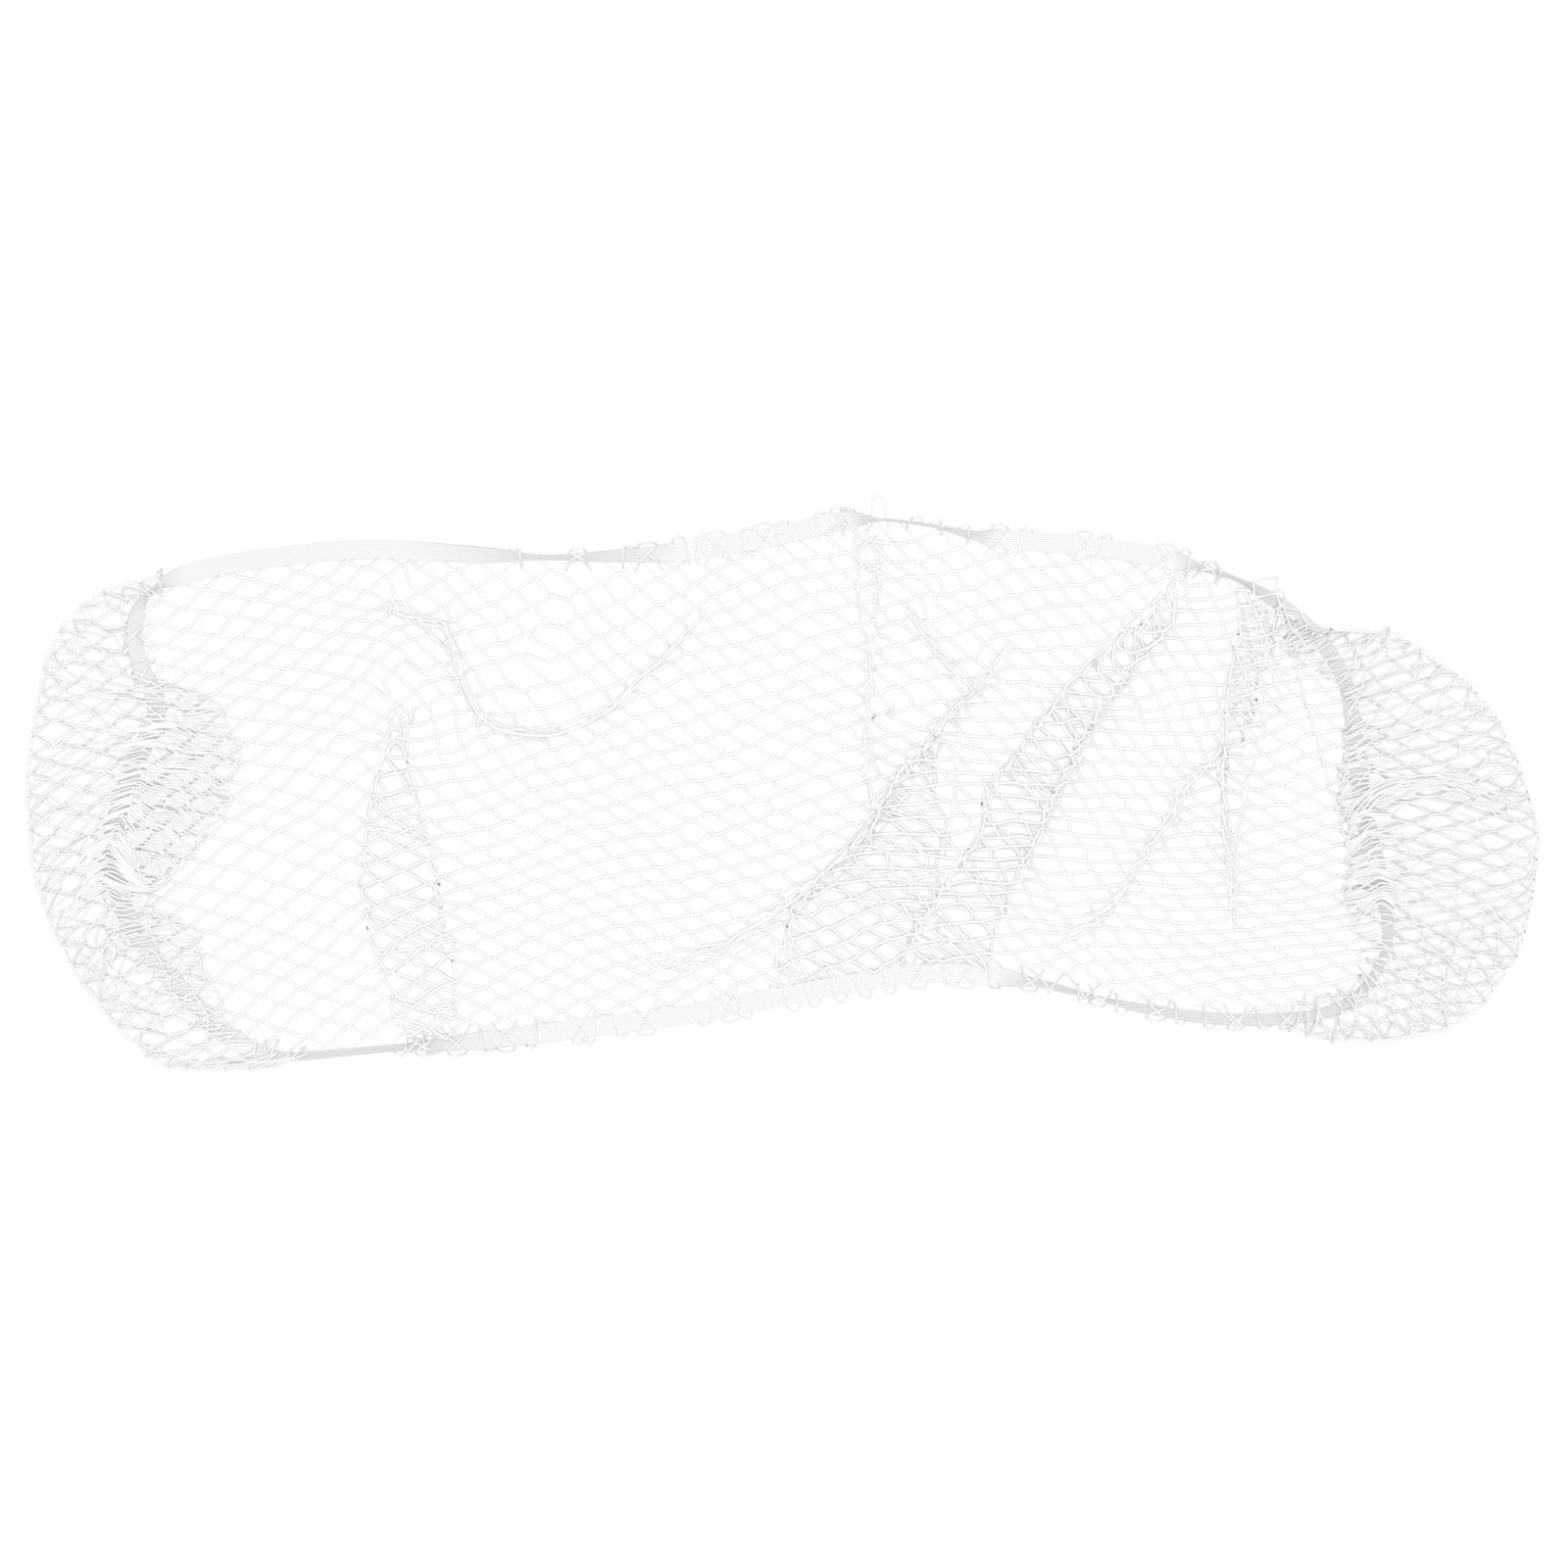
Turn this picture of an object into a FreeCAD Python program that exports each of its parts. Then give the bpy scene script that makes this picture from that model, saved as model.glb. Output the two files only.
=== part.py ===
"""Elastic-rimmed netting for a round lawn-game frame, lying relaxed on a flat surface.

One layer of diamond netting lies flat. At both ends the netting puffs up past the
elastic into a pocket and is drawn into pleats along it. Folds cross the middle.
+Z is up, X runs along the long side, and the origin is on the surface at the middle.
"""
import FreeCAD, Part
import math
import os

Vector = FreeCAD.Vector
Rotation = FreeCAD.Rotation
Placement = FreeCAD.Placement

UP = Vector(0, 0, 1)

doc = FreeCAD.newDocument("elastic_netting")
sheet = doc.addObject("Spreadsheet::Sheet", "Sizes")

SIZES = (
    ("twine_size", 2.0),
    ("bar_width", 3.2),
    ("mesh_length", 88.0),
    ("mesh_height", 59.0),
    ("fine_mesh_length", 51.0),
    ("fine_mesh_height", 34.0),
    ("shell_border", 5.0),
    ("rim_border", 7.0),
    ("band_width", 16.0),
    ("band_thickness", 1.5),
    ("band_lip", 4.0),
    ("clearance", 0.3),
    ("left_pocket_height", 26.0),
    ("right_pocket_height", 42.0),
    ("pleat_pitch", 17.0),
    ("pleat_height", 13.0),
    ("ridge_steepness", 0.42),
    ("wedge_steepness", 0.17),
    ("crossing_angle", 32.0),
    ("loop_width", 11.0),
    ("loop_reach", 6.0),
    ("pull_loop_length", 10.6),
    ("splice_length", 22.0),
    ("stitch_length", 2.6),
    ("stitch_width", 0.8),
    ("stitch_height", 0.5),
    ("stitch_spacing", 2.6),
    ("stitch_row_offset", 7.0),
)
for row, (alias, number) in enumerate(SIZES, start=1):
    sheet.set(f"A{row}", alias)
    sheet.set(f"B{row}", str(number))
    sheet.setAlias(f"B{row}", alias)
doc.recompute()


def size(alias):
    return float(sheet.get(alias))


# Heights of the layers above the surface
SEAT = size("twine_size")
BAND_TOP = SEAT + size("band_thickness")
PLEAT_SEAT = BAND_TOP + size("clearance")
FOLD_THICKNESS = size("twine_size") / 2

# Closed route of the elastic, as (x, y, twist): 0 degrees lies flat, 90 is on edge
TOP_ROUTE = (
    (-536, 164, 90), (-500, 180, 0), (-458, 189, 0), (-392, 197, 0), (-333, 199, 0),
    (-267, 195, 35), (-200, 192, 80), (-125, 194, 50), (-75, 199, 0), (0, 212, 0),
    (42, 222, 0), (83, 224, 90), (125, 219, 88), (160, 211, 70), (192, 207, 0),
    (250, 203, 0), (300, 196, 0), (325, 191, 0), (352, 184, 75), (385, 173, 85),
    (412, 158, 60),
)
RIGHT_ROUTE = (
    (438, 138, 0), (458, 117, 0), (475, 88, 0), (483, 50, 0), (488, 8, 0),
    (496, -42, 0), (507, -88, 0), (512, -121, 0), (507, -150, 70), (488, -177, 70),
    (458, -194, 30),
)
BOTTOM_ROUTE = (
    (408, -200, 0), (358, -198, 0), (308, -191, 60), (267, -182, 80), (217, -169, 70),
    (167, -162, 0), (117, -161, 0), (67, -168, 0), (0, -180, 0), (-83, -196, 0),
    (-167, -207, 0), (-250, -217, 30), (-333, -224, 75), (-417, -231, 70),
    (-448, -228, 0),
)
LEFT_ROUTE = (
    (-479, -208, 0), (-508, -179, 0), (-538, -146, 0), (-562, -104, 0),
    (-571, -62, 0), (-565, -21, 0), (-550, 21, 0), (-535, 52, 0), (-534, 74, 0),
    (-543, 94, 0), (-550, 117, 0), (-549, 142, 20),
)
ROUTE = TOP_ROUTE + RIGHT_ROUTE + BOTTOM_ROUTE + LEFT_ROUTE

# First and last route points of each run of the elastic
TOP_END = len(TOP_ROUTE) - 1
RIGHT_END = TOP_END + len(RIGHT_ROUTE)
BOTTOM_END = RIGHT_END + len(BOTTOM_ROUTE)
ELASTIC_RUNS = {
    "elastic_top": (0, TOP_END),
    "elastic_right": (TOP_END, RIGHT_END),
    "elastic_bottom": (RIGHT_END, BOTTOM_END),
    "elastic_left": (BOTTOM_END, len(ROUTE)),
}

# Outer rims of the two pockets, past the elastic
LEFT_RIM = (
    (-470, -242.8), (-504, -241.5), (-530, -236), (-558, -213), (-588, -183),
    (-608, -146), (-623, -108), (-634, -75), (-640, -38), (-641.7, 0), (-637, 42),
    (-632, 75), (-625, 104), (-608, 133), (-588, 154), (-562, 170),
)
RIGHT_RIM = (
    (450, 132), (479, 131), (508, 129), (533, 121), (558, 104), (583, 83),
    (605, 54), (623, 21), (636, -17), (641.7, -50), (639, -88), (630, -121),
    (615, -158), (592, -188), (558, -208), (517, -216), (475, -216), (440, -211),
)

# Feet of the puffed pockets, as (inner x, inner y, outer x, outer y)
LEFT_POCKET = (
    (-551, 158, -566, 164), (-561, 133, -601, 137), (-563, 100, -624, 106),
    (-569, 67, -629, 73), (-577, 33, -635, 36), (-583, 0, -638.5, 0),
    (-589, -42, -637, -43), (-593, -83, -630, -86), (-586, -117, -618, -119),
    (-569, -146, -604, -150), (-550, -171, -586, -181), (-529, -196, -560, -210),
    (-500, -221, -527, -234),
)
RIGHT_POCKET = (
    (484, 104, 488, 126), (492, 83, 527, 120), (497, 58, 561, 97),
    (503, 25, 600, 56), (513, -8, 625, 8), (525, -46, 638, -50),
    (526, -83, 636, -88), (524, -121, 624, -132), (514, -155, 594, -181),
    (494, -180, 535, -208), (467, -203, 478, -212.5),
)

# Edges of the pleated gathers, as (outer x, outer y, inner x, inner y)
LEFT_GATHER = (
    (-545, 79, -508, 79), (-566, 50, -473, 50), (-573, 17, -464, 17),
    (-578, -17, -473, -17), (-584, -50, -492, -50), (-588, -83, -518, -83),
    (-584, -104, -538, -104), (-572, -125, -503, -118), (-548, -152, -494, -152),
    (-528, -178, -485, -172), (-510, -200, -475, -198),
)
RIGHT_GATHER = (
    (454, 139, 433, 120), (466, 127, 441, 106), (479, 104, 456, 83),
    (494, 50, 464, 46), (500, 8, 467, 8), (512, -33, 472, -33),
    (519, -67, 477, -67), (520, -92, 484, -96), (519, -113, 500, -114),
)

# Folds of the netting, as (x, y, width) along the crest
WEDGE_FOLDS = {
    "fold_left_wedge": (
        (-329, 54, 8), (-332, 0, 34), (-333, -67, 62), (-321, -133, 70),
        (-308, -192, 48),
    ),
    "fold_middle_spread": (
        (108, 143, 8), (144, 95, 14), (124, 17, 34), (76, -58, 62), (55, -142, 66),
    ),
    "fold_long_diagonal": (
        (321, 157, 14), (283, 100, 26), (250, 54, 28), (221, 8, 38),
        (192, -38, 46), (167, -83, 44), (142, -125, 34),
    ),
}
RIDGE_FOLDS = {
    "fold_left_swag": (
        (-342, 154, 13), (-312, 140, 14), (-288, 117, 14), (-271, 75, 14),
        (-250, 52, 15), (-200, 40, 15), (-162, 50, 14), (-125, 77, 13),
        (-83, 119, 13), (-58, 154, 10),
    ),
    "fold_centre_pleat": ((72, 203, 20), (73, 133, 17), (71, 50, 11), (71, 8, 8)),
    "fold_lower_sweep": (
        (12, -88, 9), (-33, -129, 13), (-83, -150, 13), (-133, -158, 9),
    ),
    "fold_right_ridge": (
        (371, -3, 10), (338, -33, 11), (300, -73, 11), (250, -110, 10), (208, -138, 8),
    ),
    "fold_right_wedge": (
        (380, -129, 7), (383, -50, 15), (387, 17, 21), (396, 83, 27), (400, 121, 27),
    ),
}

# Places along the route, counted in route points, on flat stretches of the elastic
CROSSINGS = (1.4, 8.2, 8.8, 9.7, 14.2, 15.05, 16.7, 37.3, 38.1, 40.6, 41.4, 41.95)

# Places along the route where border meshes stand out past the elastic
LOOPS = (7.6, 7.95, 10.3, 11.7, 12.15, 18.4, 34.6, 35.3, 37.7, 39.1, 39.55, 40.0, 40.85, 42.4)

PULL_LOOP_PLACE = 11
SPLICE_PLACE = 56
STITCHES_PER_ROW = 5
STATIONS_PER_SPAN = 3
SMALLEST_GAP_SHARE = 0.15
FOOT_PER_THICKNESS = 1.5
NARROWEST_PER_BORDER = 3
CUT_PAST_TOP = 1.0
NEARLY_STRAIGHT = 0.5


def flat(point):
    return Vector(point[0], point[1], 0)


def outward(route, index):
    """Unit vector to the left of the route's direction at one of its points."""
    before = flat(route[max(index - 1, 0)])
    after = flat(route[min(index + 1, len(route) - 1)])
    along = (after - before).normalize()
    return Vector(-along.y, along.x, 0)


def shifted(route, distance, first=0, last=None):
    """Points of a route moved sideways, outward for a positive distance."""
    numbers = range(len(route))[first:last]
    return [flat(route[i]) + outward(route, i) * distance for i in numbers]


def ease(share):
    """Smooth step from 0 to 1."""
    return share * share * (3 - 2 * share)


def elastic_curve():
    curve = Part.BSplineCurve()
    curve.interpolate([flat(point) for point in ROUTE], PeriodicFlag=True)
    return curve


ELASTIC = elastic_curve()
KNOTS = ELASTIC.getKnots()


def on_elastic(number):
    """Point, direction and twist of the elastic at a place counted in route points."""
    span = min(int(number), len(ROUTE) - 1)
    share = number - span
    u = KNOTS[span] + (KNOTS[span + 1] - KNOTS[span]) * share
    here = ROUTE[span][2]
    following = ROUTE[(span + 1) % len(ROUTE)][2]
    twist = here + (following - here) * ease(share)
    return ELASTIC.value(u), ELASTIC.tangent(u)[0], twist


def side_of(along):
    return Vector(-along.y, along.x, 0)


def x_turn(direction):
    """Turn about Z that points an item's own +X in a direction, in degrees."""
    return math.degrees(math.atan2(direction.y, direction.x))


def y_turn(direction):
    """Turn about Z that points an item's own +Y in a direction, in degrees."""
    return x_turn(direction) - 90


def arc_outline(points):
    """Closed wire of arcs through each three points in turn."""
    ring = [*points, points[0]]
    edges = []
    for i in range(0, len(points) - 1, 2):
        start, middle, end = ring[i:i + 3]
        if (middle - start).cross(end - start).Length < NEARLY_STRAIGHT:
            edges.append(Part.LineSegment(start, end).toShape())
        else:
            edges.append(Part.Arc(start, middle, end).toShape())
    if len(points) % 2:
        edges.append(Part.LineSegment(points[-1], points[0]).toShape())
    return Part.Wire(edges)


def diamond(centre, half_length, half_height):
    corners = (
        centre + Vector(half_length, 0, 0),
        centre + Vector(0, half_height, 0),
        centre - Vector(half_length, 0, 0),
        centre - Vector(0, half_height, 0),
    )
    return Part.Face(Part.makePolygon([*corners, corners[0]]))


def mesh_gaps(region, mesh_length, mesh_height, bar):
    """Diamond gaps of a mesh, clipped to a flat region."""
    half_length = mesh_length / 2
    half_height = mesh_height / 2
    side = math.hypot(half_length, half_height)
    shrink = 1 - bar / 2 * side / (half_length * half_height)
    box = region.BoundBox
    columns = range(math.floor(box.XMin / half_length), math.ceil(box.XMax / half_length) + 1)
    rows = range(math.floor(box.YMin / half_height), math.ceil(box.YMax / half_height) + 1)
    cells = [
        diamond(Vector(i * half_length, j * half_height, 0),
                half_length * shrink, half_height * shrink)
        for i in columns for j in rows if (i + j) % 2 == 0
    ]
    whole = cells[0].Area
    clipped = Part.makeCompound(cells).common(region)
    return [gap for gap in clipped.Faces if gap.Area > SMALLEST_GAP_SHARE * whole]


def arch_wire(inner, outer, rise, thickness):
    """Thin arch that stands on its two feet, seen across a fold or pocket."""
    across = (outer - inner).normalize()
    foot = thickness * FOOT_PER_THICKNESS
    middle = (inner + outer) / 2
    near = inner + across * foot
    far = outer - across * foot
    edges = (
        Part.Arc(inner, middle + UP * rise, outer).toShape(),
        Part.LineSegment(outer, far).toShape(),
        Part.Arc(far, middle + UP * (rise - thickness), near).toShape(),
        Part.LineSegment(near, inner).toShape(),
    )
    return Part.Wire(edges)


def arched_shell(feet, steepness, thickness):
    """Arched netting through pairs of feet, its rise a share of each width."""
    wires = [
        arch_wire(inner, outer, (outer - inner).Length * steepness, thickness)
        for inner, outer in feet
    ]
    return Part.makeLoft(wires, True, True)


def drawn_in(feet, border):
    """Outline of a shell's feet, drawn in from its sides and ends by a border."""
    def shortened(end, following):
        middle = (end[0] + end[1]) / 2
        run = ((following[0] + following[1]) / 2 - middle).Length
        return [a + (b - a) * (border / run) for a, b in zip(end, following)]

    pairs = [shortened(feet[0], feet[1]), *feet[1:-1], shortened(feet[-1], feet[-2])]
    wide = [(a, b) for a, b in pairs if (b - a).Length > NARROWEST_PER_BORDER * border]
    near = [a + (b - a).normalize() * border for a, b in wide]
    far = [b + (a - b).normalize() * border for a, b in wide]
    return Part.Face(Part.makePolygon([*near, *reversed(far), near[0]]))


def netted(shell, feet, border):
    """The shell with mesh gaps cut through it, away from its edges."""
    gaps = mesh_gaps(drawn_in(feet, border), size("fine_mesh_length"),
                     size("fine_mesh_height"), size("bar_width"))
    height = shell.BoundBox.ZMax + CUT_PAST_TOP
    prisms = [gap.extrude(UP * height) for gap in gaps]
    print("gaps in shell:", len(prisms))
    return shell.cut(Part.makeCompound(prisms))


def crest_feet(crest):
    """Pairs of feet either side of a fold's crest."""
    return [
        (flat(point) - outward(crest, i) * point[2] / 2,
         flat(point) + outward(crest, i) * point[2] / 2)
        for i, point in enumerate(crest)
    ]


def ribbon(first, last, width, thickness):
    """One run of the elastic, turned on edge where its twist says so."""
    wires = []
    for station in range(first * STATIONS_PER_SPAN, last * STATIONS_PER_SPAN + 1):
        centre, along, twist = on_elastic(station / STATIONS_PER_SPAN)
        wires.append(ribbon_section(centre, along, math.radians(twist), width, thickness))
    return Part.makeLoft(wires, True, True)


def ribbon_section(centre, along, twist, width, thickness):
    side = side_of(along)
    across = side * math.cos(twist) + UP * math.sin(twist)
    through = UP * math.cos(twist) - side * math.sin(twist)
    lift = width / 2 * math.sin(twist) + thickness / 2 * math.cos(twist)
    middle = centre + UP * lift
    corners = [
        middle + across * (a * width / 2) + through * (b * thickness / 2)
        for a, b in ((-1, -1), (1, -1), (1, 1), (-1, 1))
    ]
    return Part.makePolygon([*corners, corners[0]])


def pleated(edges, pitch, height, thickness):
    """Netting drawn up in pleats that run across the elastic."""
    outer = [Vector(a, b, 0) for a, b, c, d in edges]
    inner = [Vector(c, d, 0) for a, b, c, d in edges]
    middles = [(a + b) / 2 for a, b in zip(outer, inner)]
    lengths = [0.0]
    for a, b in zip(middles, middles[1:]):
        lengths.append(lengths[-1] + (b - a).Length)
    halves = 2 * max(round(lengths[-1] / pitch), 1)
    wires = []
    span = 0
    for k in range(halves + 1):
        travelled = lengths[-1] * k / halves
        while span < len(middles) - 2 and lengths[span + 1] < travelled:
            span += 1
        share = (travelled - lengths[span]) / (lengths[span + 1] - lengths[span])
        a = outer[span] + (outer[span + 1] - outer[span]) * share
        b = inner[span] + (inner[span + 1] - inner[span]) * share
        low = UP * (height if k % 2 else 0)
        high = low + UP * thickness
        wires.append(Part.makePolygon([a + low, b + low, b + high, a + high, a + low]))
    return Part.makeLoft(wires, True, True)


def add_feature(name, shape, lift=0.0):
    """A sub-part of one shape, built on its seat and lifted to its height."""
    feature = doc.addObject("Part::Feature", name)
    feature.Shape = shape
    feature.Placement = Placement(UP * lift, Rotation())
    feature.Label = name
    return feature


def bind(item, **expressions):
    for key, expression in expressions.items():
        item.setExpression(key, expression)


def make_base():
    """The flat lower layer of netting, inside the elastic and under the pockets."""
    half = size("band_width") / 2 + size("band_lip")
    rim = size("rim_border")
    outline = [
        *shifted(TOP_ROUTE, half, 1, -1), *shifted(RIGHT_RIM, 0),
        *shifted(BOTTOM_ROUTE, half, 0, -1), *shifted(LEFT_RIM, 0),
    ]
    inset = [
        *shifted(TOP_ROUTE, -half, 1, -1), *shifted(RIGHT_RIM, -rim, 1, -1),
        *shifted(BOTTOM_ROUTE, -half, 0, -1), *shifted(LEFT_RIM, -rim, 1, -1),
    ]
    plate = Part.Face(arc_outline(outline))
    region = Part.Face(arc_outline(inset))
    gaps = mesh_gaps(region, size("mesh_length"), size("mesh_height"), size("bar_width"))
    print("gaps in base:", len(gaps))
    face = doc.addObject("Part::Feature", "base_face")
    face.Shape = plate.cut(Part.makeCompound(gaps)).Faces[0]
    base = doc.addObject("Part::Extrusion", "netting_base")
    base.Base = face
    base.DirMode = "Custom"
    base.Dir = UP
    base.Solid = True
    bind(base, LengthFwd="Sizes.twine_size")
    base.Label = "netting_base"
    return base


def make_pocket(name, feet, height):
    """Netting puffed up between the elastic and the rim of one end."""
    pairs = [(Vector(a, b, 0), Vector(c, d, 0)) for a, b, c, d in feet]
    widest = max((b - a).Length for a, b in pairs)
    shell = arched_shell(pairs, height / widest, size("twine_size"))
    return add_feature(name, netted(shell, pairs, size("shell_border")), SEAT)


def make_gather(name, edges):
    shape = pleated(edges, size("pleat_pitch"), size("pleat_height"), size("twine_size"))
    return add_feature(name, shape, PLEAT_SEAT)


def make_wedge_fold(name, crest):
    feet = crest_feet(crest)
    shell = arched_shell(feet, size("wedge_steepness"), FOLD_THICKNESS)
    return add_feature(name, netted(shell, feet, size("shell_border")), SEAT)


def make_ridge_fold(name, crest):
    shell = arched_shell(crest_feet(crest), size("ridge_steepness"), FOLD_THICKNESS)
    return add_feature(name, shell, SEAT)


def make_elastic(name, run):
    shape = ribbon(*run, size("band_width"), size("band_thickness"))
    return add_feature(name, shape, SEAT)


def crossing():
    """Two border twines that cross over the elastic, with legs down to the netting."""
    twine = size("twine_size")
    turn = size("crossing_angle")
    width = size("band_width") + 2 * size("clearance")
    span = width / math.cos(math.radians(turn)) + twine
    headroom = size("band_thickness") + size("clearance")
    half = span / 2
    profile = [
        Vector(-half - twine, 0, 0), Vector(-half, 0, 0), Vector(-half, 0, headroom),
        Vector(half, 0, headroom), Vector(half, 0, 0), Vector(half + twine, 0, 0),
        Vector(half + twine, 0, headroom + twine),
        Vector(-half - twine, 0, headroom + twine),
    ]
    face = Part.Face(Part.makePolygon([*profile, profile[0]]))
    face.translate(Vector(0, -twine / 2, 0))
    bridge = face.extrude(Vector(0, twine, 0))
    other = bridge.copy()
    bridge.rotate(Vector(0, 0, 0), UP, turn)
    other.rotate(Vector(0, 0, 0), UP, -turn)
    return bridge.fuse(other).removeSplitter()


def make_crossings():
    solids = []
    for number in CROSSINGS:
        point, along, twist = on_elastic(number)
        solid = crossing()
        solid.Placement = Placement(point, Rotation(UP, x_turn(side_of(along))))
        solids.append(solid)
    return add_feature("border_crossings", Part.makeCompound(solids), SEAT)


def twine_loop(name, place, turn, length_alias):
    """A U of round twine that lies on the border and points along its own +Y."""
    legs = []
    for side in (-1, 1):
        leg = doc.addObject("Part::Cylinder", name + "_leg")
        bind(leg, Radius="Sizes.twine_size / 2", Height=f"Sizes.{length_alias}")
        leg.Placement = Placement(
            Vector(side * (size("loop_width") - size("twine_size")) / 2, 0, 0),
            Rotation(Vector(1, 0, 0), -90))
        legs.append(leg)
    bend = doc.addObject("Part::Torus", name + "_bend")
    bind(bend, Radius1="(Sizes.loop_width - Sizes.twine_size) / 2",
         Radius2="Sizes.twine_size / 2")
    bend.Angle3 = 180
    bend.Placement = Placement(Vector(0, size(length_alias), 0), Rotation())
    loop = doc.addObject("Part::MultiFuse", name)
    loop.Shapes = [*legs, bend]
    lift = UP * (SEAT + size("twine_size") / 2)
    loop.Placement = Placement(place + lift, Rotation(UP, turn))
    return loop


def make_loops():
    """Border meshes that stick out past the elastic, all of one size."""
    gap = size("band_width") / 2 + size("clearance")
    loops = []
    for count, number in enumerate(LOOPS, start=1):
        point, along, twist = on_elastic(number)
        side = side_of(along)
        place = point + side * gap
        loops.append(twine_loop(f"loop_{count}", place, y_turn(side), "loop_reach"))
    group = doc.addObject("Part::Compound", "border_loops")
    group.Links = loops
    group.Label = "border_loops"
    return group


def make_pull_loop():
    """The longer loop that stands out at the middle of the far side."""
    point, along, twist = on_elastic(PULL_LOOP_PLACE)
    side = side_of(along)
    gap = size("band_thickness") / 2 + size("clearance") + size("twine_size")
    loop = twine_loop("pull_loop", point + side * gap, y_turn(side), "pull_loop_length")
    loop.Label = "pull_loop"
    return loop


def splice_placement(lift):
    """Frame on the elastic's own X direction at the splice, at one height."""
    point, along, twist = on_elastic(SPLICE_PLACE)
    return Placement(point + UP * lift, Rotation(UP, x_turn(along)))


def make_splice():
    """The end of the elastic, lapped on its start to close the loop."""
    lap = doc.addObject("Part::Box", "splice_lap")
    bind(lap, Length="Sizes.splice_length", Width="Sizes.band_width",
         Height="Sizes.band_thickness")
    corner = Vector(-size("splice_length") / 2, -size("band_width") / 2, 0)
    lap.Placement = splice_placement(BAND_TOP).multiply(Placement(corner, Rotation()))
    lap.Label = "splice_lap"
    return lap


def make_stitches():
    """Two rows of thread across the lap."""
    lap_top = splice_placement(BAND_TOP + size("band_thickness"))
    stitches = []
    for row in (-1, 1):
        for number in range(STITCHES_PER_ROW):
            stitch = doc.addObject("Part::Box", "stitch")
            bind(stitch, Length="Sizes.stitch_width", Width="Sizes.stitch_length",
                 Height="Sizes.stitch_height")
            x = row * size("stitch_row_offset") - size("stitch_width") / 2
            centre = (number - (STITCHES_PER_ROW - 1) / 2) * size("stitch_spacing")
            corner = Vector(x, centre - size("stitch_length") / 2, 0)
            stitch.Placement = lap_top.multiply(Placement(corner, Rotation()))
            stitches.append(stitch)
    group = doc.addObject("Part::Compound", "splice_stitches")
    group.Links = stitches
    group.Label = "splice_stitches"
    return group


def check_and_write(parts):
    """Stop on a failed object, then write one file for each sub-part."""
    doc.recompute()
    for item in doc.Objects:
        if "Invalid" in item.State or "Error" in item.State:
            raise RuntimeError(f"{item.Label} failed: {item.State}")
    for part in parts:
        if part.Shape.isNull() or not part.Shape.isValid():
            raise RuntimeError(f"{part.Label} has no valid shape")
    os.makedirs("parts", exist_ok=True)
    for part in parts:
        part.Shape.exportStep(f"parts/{part.Label}.step")


def main():
    parts = [
        make_base(),
        make_pocket("pocket_left", LEFT_POCKET, size("left_pocket_height")),
        make_pocket("pocket_right", RIGHT_POCKET, size("right_pocket_height")),
        make_gather("gather_left", LEFT_GATHER),
        make_gather("gather_right", RIGHT_GATHER),
    ]
    parts += [make_elastic(name, run) for name, run in ELASTIC_RUNS.items()]
    parts += [make_wedge_fold(name, crest) for name, crest in WEDGE_FOLDS.items()]
    parts += [make_ridge_fold(name, crest) for name, crest in RIDGE_FOLDS.items()]
    parts += [make_crossings(), make_loops(), make_pull_loop()]
    parts += [make_splice(), make_stitches()]
    check_and_write(parts)


main()
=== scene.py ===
"""Relaxed lawn-game netting with an elastic rim, seen from straight above.

Places are read on the view from above, 1600 units square and 1200 units to a metre,
with x to the right and y down. Heights are in millimetres. The netting is one diamond
mesh, drawn as twine, and a mesh place is counted in meshes along and across it.
"""
import bpy
import math
import numpy as np
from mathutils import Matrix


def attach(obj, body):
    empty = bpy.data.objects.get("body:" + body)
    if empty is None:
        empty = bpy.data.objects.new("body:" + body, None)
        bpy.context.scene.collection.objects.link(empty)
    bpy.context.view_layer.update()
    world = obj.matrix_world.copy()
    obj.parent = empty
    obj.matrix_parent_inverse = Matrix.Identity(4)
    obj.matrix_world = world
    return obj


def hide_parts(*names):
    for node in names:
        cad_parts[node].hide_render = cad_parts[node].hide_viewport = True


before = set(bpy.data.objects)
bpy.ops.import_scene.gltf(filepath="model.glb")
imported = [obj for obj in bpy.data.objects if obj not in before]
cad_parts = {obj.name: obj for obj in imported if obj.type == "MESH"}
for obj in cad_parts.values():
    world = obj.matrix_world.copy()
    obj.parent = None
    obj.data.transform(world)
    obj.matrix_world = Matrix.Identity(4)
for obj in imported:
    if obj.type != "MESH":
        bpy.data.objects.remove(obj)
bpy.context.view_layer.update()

# View from above, and its units to a millimetre
VIEW_SIZE = 1600.0
UNITS_PER_MM = 1.2
UNITS_PER_METRE = 1000 * UNITS_PER_MM
MM = 0.001

# Twine: radius, how much wider than high it lies where it is slack, and the height in
# millimetres of its middle where it lies on the floor
TWINE_RADIUS = 0.98 * MM
TWINE_SIDES = 6
SLACK_WIDTH = 1.5
ON_FLOOR = 1.1

rng = np.random.default_rng(20)


def to_world(view, height):
    """View places and heights in millimetres, as metres in the row frame."""
    x = (view[..., 0] - VIEW_SIZE / 2) / UNITS_PER_METRE
    y = (VIEW_SIZE / 2 - view[..., 1]) / UNITS_PER_METRE
    return np.stack([x, y, height * MM], axis=-1)


def ease(share):
    """Share of a step, slow at both ends."""
    return share * share * (3 - 2 * share)


def lengths(vectors):
    return np.linalg.norm(vectors, axis=1)


def unit(vectors):
    return vectors / lengths(vectors)[:, None]


def run_length(points):
    """Distance along a line to each of its points."""
    return np.append(0, np.cumsum(lengths(np.diff(points, axis=0))))


def quarter_turn(vectors):
    return np.stack([-vectors[..., 1], vectors[..., 0]], -1)


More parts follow.
